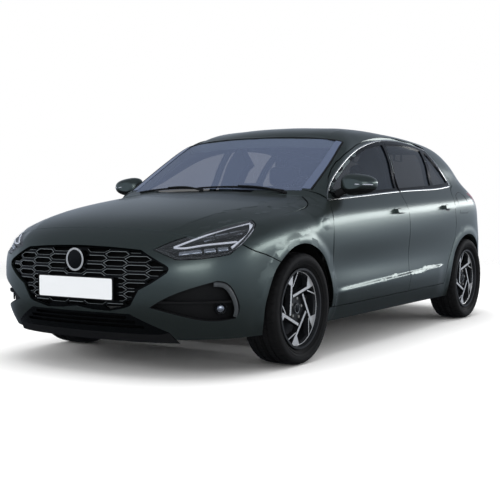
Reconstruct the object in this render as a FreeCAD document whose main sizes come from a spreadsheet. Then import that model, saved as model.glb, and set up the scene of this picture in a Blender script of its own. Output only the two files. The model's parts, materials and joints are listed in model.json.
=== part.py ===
"""Five-door hatchback car: a unit body with hung doors, bonnet and tailgate, on four wheels.

Frame: +X to the car's left, -Y forwards, +Z up. The origin is on the ground, midway along the car.
"""

import FreeCAD
import Part
import bisect
import math
import os

V = FreeCAD.Vector
doc = FreeCAD.newDocument("hatchback")

# Driving dimensions, in millimetres and degrees
SIZES = {
    "front_overhang": 905, "wheelbase": 2650, "rear_overhang": 785,
    "body_width": 1795, "body_height": 1455,
    "tyre_diameter": 634, "tyre_width": 225, "rim_diameter": 456, "rim_width": 190,
    "front_track": 1566, "rear_track": 1574,
    "front_arch_space": 51, "rear_arch_space": 38, "arch_depth": 420,
    "door_gap": 6, "seat_gap": 0.3, "pin_gap": 0.1, "overrun": 60,
    "post_width": 80, "skin_depth": 4, "wall_depth": 50, "door_depth": 96, "frame_depth": 44, "rim_width_of_door": 20, "rail_depth": 60,
    "hinge_back": 80, "hinge_inset": 20, "hinge_pin_radius": 4, "hinge_knuckle_radius": 8,
    "hinge_knuckle_height": 30, "hinge_arm_width": 12, "hinge_room": 12,
    "bonnet_hinge_drop": 24, "tailgate_hinge_drop": 70,
    "glass_thickness": 4, "glass_set": 8, "screen_thickness": 5,
    "bumper_thickness": 24, "bonnet_thickness": 26, "roof_thickness": 34, "tailgate_thickness": 60,
    "lamp_depth": 120, "lamp_rim": 12, "lens_thickness": 4,
    "floor_height": 230, "floor_thickness": 24, "sill_height": 205, "bumper_height": 205,
    "grille_set": 12, "grille_depth": 16, "cell_pitch": 260, "cell_rise": 22.5, "cell_margin": 12,
    "boss_radius": 62, "boss_set": 10,
    "plate_length": 520, "plate_height": 110, "pocket_depth": 46, "fog_radius": 32,
    "mirror_out": 905, "mirror_width": 225, "mirror_height": 128, "mirror_depth": 105, "mirror_arm": 24,
    "handle_length": 185, "handle_height": 24, "handle_stand": 34, "pipe_radius": 22,
    "engine_length": 720, "engine_width": 440, "engine_height": 480, "engine_ahead": 290, "engine_foot": 216,
    "tank_length": 800, "tank_width": 290, "tank_height": 153.5, "tank_back": 825, "tank_foot": 215,
    "liner_thickness": 6, "liner_inner_width": 560,
}
sheet = doc.addObject("Spreadsheet::Sheet", "Sizes")
for row, (alias, value) in enumerate(SIZES.items(), 1):
    sheet.set(f"A{row}", alias)
    sheet.set(f"B{row}", str(value))
    sheet.setAlias(f"B{row}", alias)
doc.recompute()


def size(alias):
    return float(getattr(sheet, alias))


FRONT, BASE, REAR = size("front_overhang"), size("wheelbase"), size("rear_overhang")
HALF, TALL = size("body_width") / 2, size("body_height")
LENGTH = FRONT + BASE + REAR
FRONT_AXLE = FRONT - LENGTH / 2
REAR_AXLE = FRONT_AXLE + BASE
GAP, SEAT = size("door_gap"), size("seat_gap")


def along(share):
    """A place along the car: -1 the nose, 0 the front axle, 1 the rear axle, 2 the tail."""
    if share < 0:
        return FRONT_AXLE + share * FRONT
    if share <= 1:
        return FRONT_AXLE + share * BASE
    return REAR_AXLE + (share - 1) * REAR


def up(share):
    return share * TALL


def out(share):
    return share * HALF


class Curve:
    """A natural cubic spline through points."""

    def __init__(self, points):
        self.x = [p[0] for p in points]
        self.y = [p[1] for p in points]
        self.bend = bends(self.x, self.y)

    def __call__(self, q):
        return spline(self.x, self.y, self.bend, q)


def bends(x, y):
    """Second derivatives of the natural cubic spline through x, y."""
    n = len(x)
    diagonal, right = [1.0] * n, [0.0] * n
    for i in range(1, n - 1):
        before, after = x[i] - x[i - 1], x[i + 1] - x[i]
        diagonal[i] = (before + after) / 3
        right[i] = (y[i + 1] - y[i]) / after - (y[i] - y[i - 1]) / before
    for i in range(2, n - 1):
        step = (x[i] - x[i - 1]) / 6
        factor = step / diagonal[i - 1]
        diagonal[i] -= factor * step
        right[i] -= factor * right[i - 1]
    second = [0.0] * n
    for i in range(n - 2, 0, -1):
        second[i] = (right[i] - (x[i + 1] - x[i]) / 6 * second[i + 1]) / diagonal[i]
    return second


def spline(x, y, second, q):
    i = min(max(bisect.bisect_right(x, q) - 1, 0), len(x) - 2)
    h = x[i + 1] - x[i]
    if q < x[0]:
        return y[0] + (q - x[0]) * ((y[1] - y[0]) / h - h * second[1] / 6)
    if q > x[-1]:
        return y[-1] + (q - x[-1]) * ((y[-1] - y[-2]) / h + h * second[-2] / 6)
    b = (q - x[i]) / h
    a = 1 - b
    return a * y[i] + b * y[i + 1] + ((a**3 - a) * second[i] + (b**3 - b) * second[i + 1]) * h * h / 6


def ease(t):
    """A smooth rise from 0 to 1."""
    t = min(max(t, 0.0), 1.0)
    return t * t * t * (t * (6 * t - 15) + 10)


def greater(a, b, blend):
    """The greater of two values, with a smooth change over a width of blend."""
    h = max(0.0, 1 - abs(a - b) / blend)
    return max(a, b) + blend * h**3 / 6


def lesser(a, b, blend):
    return -greater(-a, -b, blend)


# The body's form: half-widths at stations along the car and levels up it, as shares of the half-width
STATION_SHARES = [-1, -0.702, -0.37, 0, 0.175, 0.477, 0.779, 1, 1.465, 1.783, 2]
LEVEL_SHARES = [0.103, 0.158, 0.213, 0.275, 0.357, 0.481, 0.564, 0.615, 0.677, 0.79, 0.928, 1.003]
WIDTH_SHARES = [
    [0.640, 0.694, 0.720, 0.735, 0.741, 0.727, 0.699, 0.662, 0.605, 0.537, 0.458, 0.420],
    [0.812, 0.852, 0.876, 0.889, 0.896, 0.888, 0.865, 0.829, 0.761, 0.687, 0.596, 0.548],
    [0.908, 0.936, 0.949, 0.960, 0.967, 0.969, 0.956, 0.927, 0.858, 0.780, 0.680, 0.624],
    [0.923, 0.950, 0.965, 0.976, 0.983, 0.989, 0.983, 0.954, 0.880, 0.808, 0.712, 0.652],
    [0.918, 0.949, 0.967, 0.983, 0.976, 0.991, 0.985, 0.960, 0.886, 0.815, 0.719, 0.659],
    [0.916, 0.947, 0.967, 0.985, 0.974, 0.992, 0.988, 0.965, 0.892, 0.823, 0.727, 0.667],
    [0.916, 0.947, 0.967, 0.982, 0.976, 0.993, 0.992, 0.969, 0.898, 0.827, 0.727, 0.665],
    [0.916, 0.945, 0.965, 0.977, 0.985, 0.994, 0.992, 0.969, 0.891, 0.810, 0.700, 0.638],
    [0.891, 0.919, 0.942, 0.956, 0.967, 0.972, 0.960, 0.934, 0.856, 0.762, 0.635, 0.568],
    [0.825, 0.858, 0.886, 0.905, 0.914, 0.905, 0.886, 0.852, 0.769, 0.671, 0.546, 0.479],
    [0.758, 0.797, 0.830, 0.849, 0.856, 0.841, 0.819, 0.780, 0.691, 0.591, 0.468, 0.401],
]
BELT_SLOPE_SHARE = 0.04
LEDGE_SHARE, LEDGE_SLOPE_SHARE, BONNET_FOLD_SHARE = 0.013, 0.0385, 0.0085
NOSE = Curve([(up(z), FRONT_AXLE - y * FRONT) for z, y in [
    (0.103, 0.878), (0.137, 0.912), (0.179, 0.950), (0.227, 0.980), (0.309, 0.998), (0.385, 1.0),
    (0.447, 0.980), (0.495, 0.943), (0.543, 0.876), (0.584, 0.779), (0.632, 0.635), (0.687, 0.425)]])
TAIL = Curve([(up(z), REAR_AXLE + y * REAR) for z, y in [
    (0.103, 0.873), (0.137, 0.904), (0.206, 0.962), (0.309, 0.997), (0.385, 1.0), (0.440, 0.981),
    (0.495, 0.943), (0.619, 0.904), (0.687, 0.862), (0.756, 0.771), (0.825, 0.669), (0.893, 0.569),
    (0.962, 0.471), (1.003, 0.414)]])
BONNET_LINE = Curve([(along(y), up(z)) for y, z in [
    (-1, 0.474), (-0.867, 0.522), (-0.702, 0.565), (-0.481, 0.603), (-0.26, 0.631), (0.006, 0.658),
    (0.092, 0.677), (0.175, 0.689)]])
ROOF_LINE = Curve([(along(y), up(z)) for y, z in [
    (0.251, 0.914), (0.345, 0.961), (0.421, 0.984), (0.515, 0.998), (0.628, 1.0), (0.779, 0.9925),
    (0.93, 0.974), (1.146, 0.952), (1.529, 0.921), (1.911, 0.883)]])
BONNET_FOLD = Curve([(along(y), out(x)) for y, x in [
    (-1, 0.52), (-0.70, 0.565), (-0.56, 0.597), (-0.235, 0.666), (0.008, 0.722), (0.126, 0.742)]])
SCREEN_FOOT_SHARE, SCREEN_FOOT_HEIGHT_SHARE, SCREEN_SLOPE_SHARE = 0.0917, 0.677, 0.578
NOSE_BOW_SHARE, TAIL_BOW_SHARE, SCREEN_BOW_SHARE = 5.79, 3.34, 3.34
BONNET_CROWN_SHARE, ROOF_CROWN_SHARE, FLARE_SHARE, CORNER_BLEND_SHARE = 0.0536, 0.0289, 0.01, 0.479
EDGE_BLEND_SHARE, PILLAR_BLEND_SHARE = 0.189, 0.078

STATIONS = [along(s) for s in STATION_SHARES]
LEVELS = [up(s) for s in LEVEL_SHARES]
LEVEL_CURVES = [Curve([(y, out(row[j])) for y, row in zip(STATIONS, WIDTH_SHARES)]) for j in range(len(LEVELS))]
FRONT_ARCH = size("tyre_diameter") / 2 + size("front_arch_space")
REAR_ARCH = size("tyre_diameter") / 2 + size("rear_arch_space")
WHEELS = ((FRONT_AXLE, FRONT_ARCH), (REAR_AXLE, REAR_ARCH))
HUB = size("tyre_diameter") / 2
sections = {}


def section(y):
    """Half-widths up the car at one station, with their spline."""
    if y not in sections:
        widths = [c(y) for c in LEVEL_CURVES]
        sections[y] = (widths, bends(LEVELS, widths))
    return sections[y]


def side(y, z):
    """Half-width of the body's side at y, z."""
    rise = ease((z - up(0.227)) / up(0.309)) * (1 - ease((z - up(0.7285)) / up(0.206)))
    level = z - BELT_SLOPE_SHARE * y * rise
    widths, second = section(y)
    x = spline(LEVELS, widths, second, level)
    for axle, arch in WHEELS:
        r = math.hypot(y - axle, z - HUB)
        reach = up(0.0584)
        x += out(FLARE_SHARE) * ease((arch + reach - r) / reach) * ease((z - up(0.103)) / up(0.103))
    return x + out(LEDGE_SHARE) * ledge(y, z)


def ledge(y, z):
    """The step low on the doors, which rises and thins towards the back: 0 above it and 1 under it."""
    middle = up(0.269) + (y - along(0.198)) * LEDGE_SLOPE_SHARE
    tall = up(0.0145) - up(0.0065) * ease((y - along(0.175)) / (BASE * 0.55))
    ends = ease((y - along(0.12)) / (BASE * 0.10)) * (1 - ease((y - along(0.76)) / (BASE * 0.07)))
    return ends * (1 - ease((z - middle + tall) / (2 * tall))) * ease((z - up(0.130)) / up(0.10))


def top(x, y):
    """Height of the bonnet, windscreen or roof at x, y."""
    bonnet = BONNET_LINE(y) - up(BONNET_CROWN_SHARE) * (x / out(0.891)) ** 2.4
    bonnet -= up(BONNET_FOLD_SHARE) * ease((x - BONNET_FOLD(y)) / out(0.078))
    roof = ROOF_LINE(y) - up(ROOF_CROWN_SHARE) * (x / out(0.6685)) ** 2.2
    back = y - along(SCREEN_FOOT_SHARE) - x * x / out(SCREEN_BOW_SHARE)
    screen = up(SCREEN_FOOT_HEIGHT_SHARE) + back * SCREEN_SLOPE_SHARE
    return greater(bonnet, lesser(screen, roof, up(0.0756)), up(0.0206))


def edge_blend(y):
    """How wide the top blends into the side: broad on the wings and roof, tight on the front pillars."""
    pillar = ease((y - along(0.055)) / (BASE * 0.045)) * (1 - ease((y - along(0.319)) / (BASE * 0.132)))
    return out(EDGE_BLEND_SHARE) - out(EDGE_BLEND_SHARE - PILLAR_BLEND_SHARE) * pillar


def form(x, y, z):
    """Below zero inside the body, and about minus the depth under its skin."""
    x = abs(x)
    wide = x - side(y, z)
    ahead = NOSE(z) + x * x / out(NOSE_BOW_SHARE) - y
    behind = y - TAIL(z) + x * x / out(TAIL_BOW_SHARE) * (1 + 0.5 * ease((z - up(0.55)) / up(0.275)))
    plan = greater(wide, ahead, out(CORNER_BLEND_SHARE)) if ahead > wide - out(1) else wide
    plan = greater(plan, behind, out(CORNER_BLEND_SHARE))
    return greater(plan, z - top(x, y), edge_blend(y))


def reach(origin, way, depth, guess):
    """How far along a ray the surface at that depth lies."""
    def value(t):
        return form(origin.x + way.x * t, origin.y + way.y * t, origin.z + way.z * t) + depth

    low, high = guess - out(0.05), guess + out(0.05)
    f_low, f_high = value(low), value(high)
    while f_low > 0 and low > 0:
        high, f_high = low, f_low
        low -= out(0.15)
        f_low = value(low)
    while f_high < 0 and high < LENGTH:
        low, f_low = high, f_high
        high += out(0.15)
        f_high = value(high)
    for _ in range(24):
        middle = high - f_high * (high - low) / (f_high - f_low)
        f = value(middle)
        if abs(f) < 0.01:
            return middle
        if f * f_high < 0:
            low, f_low = high, f_high
        else:
            f_low *= 0.5
        high, f_high = middle, f
    return high


# Ways to make solids from the form

LEFT, AHEAD, BEHIND, ABOVE = V(1, 0, 0), V(0, -1, 0), V(0, 1, 0), V(0, 0, 1)
OVER = size("overrun")
FAR = LENGTH
CURVE_STEPS, KEPT_SHARE = 3, 0.97
SKIN, RIM = size("skin_depth"), size("rim_width_of_door")
TAIL_LEAN_SHARE = 0.55
CELL_SHARE, CELL_HIGH_SHARE, CELL_TIP_SHARE = 0.285, 0.64, 1.8


def places(first, last, count):
    return [first + (last - first) * i / (count - 1) for i in range(count)]


def from_middle(y, turn, depth, guess):
    """A point of the side: out from a line along the car, at an angle above level, leaning with the tail."""
    origin = V(out(0.167), y, up(0.481))
    rise = math.sin(math.radians(turn))
    lean = TAIL_LEAN_SHARE * ease((y - along(0.85)) / (BASE * 0.38)) * max(rise, 0)
    way = V(math.cos(math.radians(turn)), -lean, rise)
    t = reach(origin, way, depth, guess)
    return origin + way * t, t


def from_below(share, y, depth, guess):
    """A point of the bonnet, screen or roof, straight up from a share of the upper body's half-width."""
    origin = V(share * UPPER_EDGE(y), y, up(0.24))
    t = reach(origin, ABOVE, depth, guess)
    return origin + ABOVE * t, t


def ray(middle, turn, lift, ahead):
    """A ray from a middle point, turned to the left and lifted from straight ahead or straight back."""
    level = math.cos(math.radians(lift))
    way = V(math.sin(math.radians(turn)) * level, ahead * math.cos(math.radians(turn)) * level,
            math.sin(math.radians(lift)))
    return middle, way


def from_front(turn, lift, depth, guess):
    origin, way = ray(V(0, along(-0.094), up(0.344)), turn, lift, -1)
    t = reach(origin, way, depth, guess)
    return origin + way * t, t


def from_back(turn, lift, depth, guess):
    origin, way = ray(V(0, along(0.985), up(0.500)), turn, lift, 1)
    t = reach(origin, way, depth, guess)
    return origin + way * t, t


UPPER_EDGE = Curve([(along(y), out(x)) for y, x in [
    (-0.88, 0.58), (-0.80, 0.67), (-0.74, 0.74), (-0.62, 0.82), (-0.5, 0.87), (0, 0.93), (0.16, 0.88), (0.38, 0.76), (1.0, 0.74), (1.4, 0.70)]])


def even_spline(points):
    """A curve through points that are spaced evenly on it."""
    curve = Part.BSplineCurve()
    curve.interpolate(Points=points, Parameters=[float(i) for i in range(len(points))])
    return curve


def patch(chart, us, vs, depth):
    """The smooth surface at one depth under the skin."""
    rows, start = [], out(0.8)
    for u in us:
        row, guess = [], start
        for v in vs:
            point, guess = chart(u, v, depth, guess)
            row.append(point)
            start = guess if v == vs[0] else start
        rows.append(row)
    across = [even_spline(row) for row in rows]
    along_poles = [even_spline(list(column)) for column in zip(*[curve.getPoles() for curve in across])]
    poles = [list(row) for row in zip(*[curve.getPoles() for curve in along_poles])]
    surface = Part.BSplineSurface()
    surface.buildFromPolesMultsKnots(
        poles, along_poles[0].getMultiplicities(), across[0].getMultiplicities(),
        along_poles[0].getKnots(), across[0].getKnots(), False, False, 3, 3)
    return surface


def slab(chart, us, vs, outer, inner):
    """A solid between two depths under the skin."""
    skins = [patch(chart, us, vs, depth) for depth in (outer, inner)]
    faces = [skin.toShape() for skin in skins]
    for iso, at in (("uIso", 0), ("uIso", 1), ("vIso", 2), ("vIso", 3)):
        edges = [getattr(skin, iso)(skin.bounds()[at]).toShape() for skin in skins]
        faces.append(Part.makeRuledSurface(*edges))
    shell = Part.Shell(faces)
    shell.sewShape()
    solid = Part.Solid(shell)
    if solid.Volume < 0:
        solid.reverse()
    return solid


def smooth(stroke):
    """Points along a curve through a stroke's points; a stroke of two stays straight."""
    if len(stroke) == 2:
        return stroke
    run = [0.0]
    for first, second in zip(stroke, stroke[1:]):
        run.append(run[-1] + first.distanceToPoint(second))
    curves = [Curve([(t, p[axis]) for t, p in zip(run, stroke)]) for axis in range(3)]
    stations = [a + (b - a) * k / CURVE_STEPS for a, b in zip(run, run[1:]) for k in range(CURVE_STEPS)]
    return [V(*[c(t) for c in curves]) for t in stations + run[-1:]]


def outline(strokes, way, grow=0):
    """The corners of an outline as seen along a way, grown outwards by an even width."""
    corners = []
    for stroke in strokes:
        for point in smooth(stroke):
            flat = point - way * point.dot(way)
            if not corners or flat.distanceToPoint(corners[-1]) > size("door_gap"):
                corners.append(flat)
    if corners[0].distanceToPoint(corners[-1]) <= size("door_gap"):
        corners.pop()
    area = V(0, 0, 0)
    for first, second in zip(corners, corners[1:] + corners[:1]):
        area += first.cross(second)
    if area.dot(way) < 0:
        corners.reverse()
    if not grow:
        return corners
    grown = []
    for before, corner, after in zip(corners[-1:] + corners[:-1], corners, corners[1:] + corners[:1]):
        normals = [(second - first).normalize().cross(way) for first, second in ((before, corner), (corner, after))]
        middle = normals[0] + normals[1]
        grown.append(corner + middle * (2 * grow / max(middle.dot(middle), 1)))
    if abs(grow) <= GAP:
        return grown
    return [point for point in grown if edge_distance(point, corners) > abs(grow) * KEPT_SHARE]


def edge_distance(point, corners):
    """How far a point is from the nearest side of an outline."""
    nearest = FAR
    for first, second in zip(corners, corners[1:] + corners[:1]):
        side_run, run = second - first, point - first
        share = min(max(run.dot(side_run) / side_run.dot(side_run), 0), 1)
        nearest = min(nearest, (run - side_run * share).Length)
    return nearest


def prism(strokes, way, start=0, grow=0, length=None):
    """The space swept along a way by an outline, which is seen along it and can be grown."""
    corners = [corner + way * start for corner in outline(strokes, way, grow)]
    return Part.Face(Part.makePolygon(corners + corners[:1])).extrude(way * (length or FAR))


def side_view(shares):
    return [[V(0, along(y), up(z)) for y, z in stroke] for stroke in shares]


def end_view(shares):
    return [[V(out(x), 0, up(z)) for x, z in stroke] for stroke in shares]


def top_view(shares):
    return [[V(out(x), along(y), 0) for x, y in stroke] for stroke in shares]


def any_view(shares):
    return [[V(out(x), along(y), up(z)) for x, y, z in stroke] for stroke in shares]


def other_side(shape):
    return shape.mirror(V(0, 0, 0), LEFT)


def both_sides(shape):
    return Part.makeCompound([shape, other_side(shape)])


def whole(half_strokes):
    """A symmetrical outline from its left half, which starts and ends on the middle line."""
    mirrored = [[V(-p.x, p.y, p.z) for p in reversed(stroke)] for stroke in reversed(half_strokes)]
    return half_strokes + mirrored


def tube(points, radius):
    """A bar of round section along straight runs, with a ball at each bend."""
    shape = None
    for first, second in zip(points, points[1:]):
        run = second - first
        piece = Part.makeCylinder(radius, run.Length, first, run)
        shape = piece if shape is None else shape.fuse([piece, Part.makeSphere(radius, first)])
    return shape


def block(low, high):
    return Part.makeBox(high.x - low.x, high.y - low.y, high.z - low.z, low)


def largest(shape):
    return max(shape.Solids, key=lambda solid: solid.Volume)


def keep(label, shape):
    """One sub-part, whose shape is worked out from the sizes."""
    feature = doc.addObject("Part::Feature", label)
    feature.Shape = shape
    feature.Label = label
    return feature


# Shut lines and openings, as strokes of shares: places along and up the car, or out and up, or out and along

FRONT_DOOR_SHARES = [
    [(0.165, 0.640), (0.149, 0.591), (0.139, 0.536), (0.137, 0.476), (0.140, 0.385), (0.142, 0.271), (0.150, 0.212)],
    [(0.158, 0.199), (0.566, 0.207)],
    [(0.566, 0.207), (0.568, 0.309), (0.566, 0.447), (0.562, 0.550), (0.562, 0.639), (0.568, 0.690), (0.592, 0.946)],
    [(0.592, 0.946), (0.478, 0.919), (0.358, 0.862), (0.250, 0.772), (0.165, 0.640)],
]
REAR_DOOR_SHARES = [
    [(0.592, 0.946), (0.568, 0.690), (0.562, 0.639), (0.562, 0.550), (0.566, 0.447), (0.568, 0.309), (0.566, 0.207)],
    [(0.566, 0.207), (0.828, 0.212)],
    [(0.828, 0.212), (0.836, 0.261), (0.850, 0.322), (0.884, 0.408), (0.898, 0.460), (0.900, 0.520), (0.893, 0.577),
     (0.897, 0.632), (0.909, 0.672)],
    [(0.909, 0.672), (0.935, 0.705), (0.962, 0.735), (0.960, 0.760)],
    [(0.960, 0.760), (0.915, 0.840), (0.882, 0.920)],
    [(0.882, 0.920), (0.860, 0.934), (0.798, 0.945), (0.700, 0.955), (0.592, 0.946)],
]
FRONT_GLASS_SHARES = [
    [(0.205, 0.683), (0.290, 0.769), (0.372, 0.834), (0.478, 0.888), (0.573, 0.912)],
    [(0.573, 0.912), (0.552, 0.696)],
    [(0.552, 0.696), (0.414, 0.684), (0.205, 0.683)],
]
REAR_GLASS_SHARES = [
    [(0.590, 0.914), (0.700, 0.923), (0.798, 0.913), (0.830, 0.905)],
    [(0.830, 0.905), (0.795, 0.718)],
    [(0.795, 0.718), (0.569, 0.697)],
    [(0.569, 0.697), (0.590, 0.914)],
]
QUARTER_GLASS_SHARES = [
    [(0.845, 0.899), (0.858, 0.893), (0.864, 0.884)],
    [(0.864, 0.884), (0.893, 0.826), (0.931, 0.756)],
    [(0.931, 0.756), (0.933, 0.744), (0.920, 0.734)],
    [(0.920, 0.734), (0.868, 0.727), (0.812, 0.720)],
    [(0.812, 0.720), (0.845, 0.899)],
]
BONNET_SHARES = [
    [(0, -0.812), (0.416, -0.800), (0.590, -0.775), (0.706, -0.742)],
    [(0.706, -0.742), (0.784, -0.513), (0.826, -0.360), (0.867, -0.140), (0.877, 0.062)],
    [(0.877, 0.062), (0.855, 0.100), (0.761, 0.128)],
    [(0.761, 0.128), (0.480, 0.098), (0, 0.078)],
]
SCREEN_SHARES = [
    [(0, 0.098), (0.446, 0.116), (0.724, 0.148)],
    [(0.724, 0.148), (0.705, 0.250), (0.665, 0.366)],
    [(0.665, 0.366), (0.381, 0.343), (0, 0.334)],
]
ROOF_SHARES = [
    [(0, 0.338), (0.381, 0.347), (0.668, 0.371)],
    [(0.668, 0.371), (0.635, 0.520), (0.612, 0.700), (0.600, 0.900), (0.580, 1.08), (0.545, 1.235)],
    [(0.545, 1.235), (0.300, 1.255), (0, 1.260)],
]
RAIL_SHARES = [
    [(0, 0.098), (0.500, 0.098)],
    [(0.500, 0.098), (0.860, 0.150), (0.827, 0.187), (0.780, 0.262), (0.740, 0.362), (0.695, 0.478), (0.665, 0.578),
     (0.650, 0.700), (0.656, 0.800), (0.668, 0.870), (0.690, 0.950)],
    [(0.690, 0.950), (0, 0.950)],
]
LAMP_SHARES = [
    [(0.528, -0.904, 0.460), (0.579, -0.867, 0.478), (0.708, -0.745, 0.513), (0.852, -0.380, 0.564)],
    [(0.852, -0.380, 0.564), (0.890, -0.396, 0.549), (0.910, -0.445, 0.530), (0.913, -0.600, 0.473), (0.894, -0.673, 0.444)],
    [(0.894, -0.673, 0.444), (0.780, -0.800, 0.430), (0.671, -0.885, 0.427)],
    [(0.671, -0.885, 0.427), (0.528, -0.904, 0.460)],
]
FOG_SHARES = [
    [(0.519, -0.940, 0.257), (0.588, -0.927, 0.283), (0.748, -0.859, 0.327), (0.863, -0.750, 0.353)],
    [(0.863, -0.750, 0.353), (0.894, -0.704, 0.345), (0.918, -0.640, 0.297), (0.918, -0.609, 0.238), (0.904, -0.629, 0.214)],
    [(0.904, -0.629, 0.214), (0.818, -0.765, 0.209), (0.711, -0.856, 0.225), (0.519, -0.940, 0.257)],
]
GRILLE_SHARES = [
    [(0, 0.472), (0.250, 0.468), (0.446, 0.460)],
    [(0.446, 0.460), (0.600, 0.412), (0.630, 0.396), (0.622, 0.380)],
    [(0.622, 0.380), (0.540, 0.345), (0.458, 0.318)],
    [(0.458, 0.318), (0.400, 0.262)],
    [(0.400, 0.262), (0.360, 0.252), (0, 0.250)],
]
INTAKE_SHARES = [
    [(0, 0.232), (0.385, 0.232)],
    [(0.385, 0.232), (0.600, 0.168)],
    [(0.600, 0.168), (0.640, 0.120)],
    [(0.640, 0.120), (0, 0.120)],
]
WING_SHARES = [
    [(-0.660, 0.500), (-0.580, 0.481), (-0.521, 0.460), (-0.414, 0.440), (-0.297, 0.415), (-0.150, 0.380)],
    [(0, 0.203), (0.152, 0.201)],
    [(0.150, 0.212), (0.142, 0.271), (0.140, 0.385), (0.137, 0.476), (0.139, 0.536), (0.149, 0.591), (0.165, 0.640)],
    [(0.165, 0.640), (0.130, 0.740)],
    [(0.130, 0.740), (-0.660, 0.740)],
]
REAR_BUMPER_SHARES = [
    [(1.150, 0.330), (1.322, 0.405), (1.420, 0.442), (1.520, 0.462), (2.150, 0.470)],
    [(2.150, 0.470), (2.150, 0.050)],
    [(2.150, 0.050), (1.150, 0.050)],
]
TAILGATE_SHARES = [
    [(0, 0.435), (0.530, 0.435)],
    [(0.530, 0.435), (0.640, 0.462), (0.700, 0.520), (0.722, 0.610), (0.705, 0.690)],
    [(0.705, 0.690), (0.660, 0.790), (0.605, 0.905)],
    [(0.605, 0.905), (0.580, 0.960), (0.570, 1.1)],
    [(0.570, 1.1), (0, 1.1)],
]
TAILGATE_GLASS_SHARES = [
    [(0, 0.690), (0.400, 0.694), (0.600, 0.704)],
    [(0.600, 0.704), (0.632, 0.716), (0.632, 0.740)],
    [(0.632, 0.740), (0.590, 0.830), (0.545, 0.905)],
    [(0.545, 0.905), (0.300, 0.915), (0, 0.918)],
]
TAIL_LAMP_SHARES = [
    [(0.700, 1.930, 0.556), (0.790, 1.900, 0.545), (0.890, 1.730, 0.560), (0.930, 1.480, 0.596)],
    [(0.930, 1.480, 0.596), (0.935, 1.280, 0.630), (0.930, 1.140, 0.684)],
    [(0.930, 1.140, 0.684), (0.860, 1.300, 0.690), (0.800, 1.700, 0.676), (0.660, 1.850, 0.664)],
    [(0.660, 1.850, 0.664), (0.400, 1.900, 0.652)],
    [(0.400, 1.900, 0.652), (0.400, 1.930, 0.556)],
]

LEFT_SIGHT = LEFT
LAMP_SIGHT = V(math.sin(math.radians(40)), -math.cos(math.radians(40)), 0)
TAIL_SIGHT = V(math.sin(math.radians(40)), math.cos(math.radians(40)), 0)

front_door_line = side_view(FRONT_DOOR_SHARES)
rear_door_line = side_view(REAR_DOOR_SHARES)
bonnet_line = whole(top_view(BONNET_SHARES))
screen_line = whole(top_view(SCREEN_SHARES))
roof_line = whole(top_view(ROOF_SHARES))
rail_line = whole(top_view(RAIL_SHARES))
lamp_line = any_view(LAMP_SHARES)
fog_line = any_view(FOG_SHARES)
tail_lamp_line = any_view(TAIL_LAMP_SHARES)
grille_line = whole(end_view(GRILLE_SHARES))
intake_line = whole(end_view(INTAKE_SHARES))
tailgate_line = whole(end_view(TAILGATE_SHARES))
tailgate_glass_line = whole(end_view(TAILGATE_GLASS_SHARES))


def arch(axle, radius):
    """The round space over a wheel, right across the car."""
    return Part.makeCylinder(radius, 2 * (HALF + OVER), V(-HALF - OVER, axle, HUB), LEFT)


LEDGE_TURNS = [-27.5, -25.5, -24, -22.5, -21, -19.5, -18, -16, -13]


def side_slab(first, last, count, outer, inner, low=-40, high=58, steps=15, ledged=False):
    turns = places(low, high, steps)
    if ledged:
        turns = sorted([turn for turn in turns if not -31 < turn < -10] + LEDGE_TURNS)
    return slab(from_middle, places(along(first), along(last), count), turns, outer, inner)


def top_slab(first, last, across, lengthwise, outer, inner):
    return slab(from_below, places(-1, 1, across), places(along(first), along(last), lengthwise), outer, inner)


TAILGATE_HINGE = V(out(0.223), along(1.352), up(0.9235))
BONNET_HINGE = V(out(0.702), along(0.1351), up(0.646))


def hinge_bar(hinge, sides, end, low, high, drop):
    """A flat bar from a hinge to an end. A drop cranks it down between them, clear of what swings past."""
    near, far = sorted(sides)
    start, stop = sorted((end, hinge.y))
    bar = block(V(near, start, low - drop), V(far, stop, high - drop))
    if not drop:
        return bar
    return bar.fuse([
        block(V(near, hinge.y - GAP, low - drop), V(far, hinge.y + GAP, hinge.z)),
        block(V(near, start, low - drop), V(far, start + 2 * GAP, high))])


def lid_arm(hinge, hand, end, drop=0):
    """The fixed half of a lid's hinge: an arm that ends in a knuckle with its pin, which points outwards."""
    radius, wide = size("hinge_knuckle_radius"), size("hinge_knuckle_height") / 2
    x = hand * hinge.x
    ring = Part.makeCylinder(radius, wide, V(x, hinge.y, hinge.z), LEFT * -hand)
    pin = Part.makeCylinder(size("hinge_pin_radius"), wide, V(x, hinge.y, hinge.z), LEFT * hand)
    arm = hinge_bar(hinge, (x, x - hand * wide), end, hinge.z - radius / 2, hinge.z + radius / 2, drop)
    return arm.fuse([ring, pin])


def lid_eye(hinge, hand, end, drop=0):
    """A lid's half of its hinge, on the pin, with a leg to the lid."""
    radius, wide = size("hinge_knuckle_radius"), size("hinge_knuckle_height") / 2
    near, far = hand * (hinge.x + SEAT), hand * (hinge.x + wide)
    eye = Part.makeCylinder(radius, wide - SEAT, V(near, hinge.y, hinge.z), LEFT * hand)
    leg = hinge_bar(hinge, (near, far), end, hinge.z - radius, hinge.z - radius / 4, drop)
    middle = V(hand * hinge.x - 2 * wide, hinge.y, hinge.z)
    hole = Part.makeCylinder(size("hinge_pin_radius") + size("pin_gap"), 4 * wide, middle, LEFT)
    return eye.fuse(leg).cut(hole)

# Body panels that are fixed

def bonnet():
    panel = top_slab(-0.86, 0.16, 15, 12, 0, size("bonnet_thickness"))
    panel = panel.common(prism(bonnet_line, ABOVE, grow=-GAP / 2))
    rim = top_slab(-0.86, 0.16, 15, 12, SKIN, 2 * size("bonnet_thickness"))
    panel = panel.cut(rim.cut(prism(bonnet_line, ABOVE, grow=-RIM)))
    return panel.fuse([lid_eye(BONNET_HINGE, hand, along(0.108), size("bonnet_hinge_drop")) for hand in (1, -1)])


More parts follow.
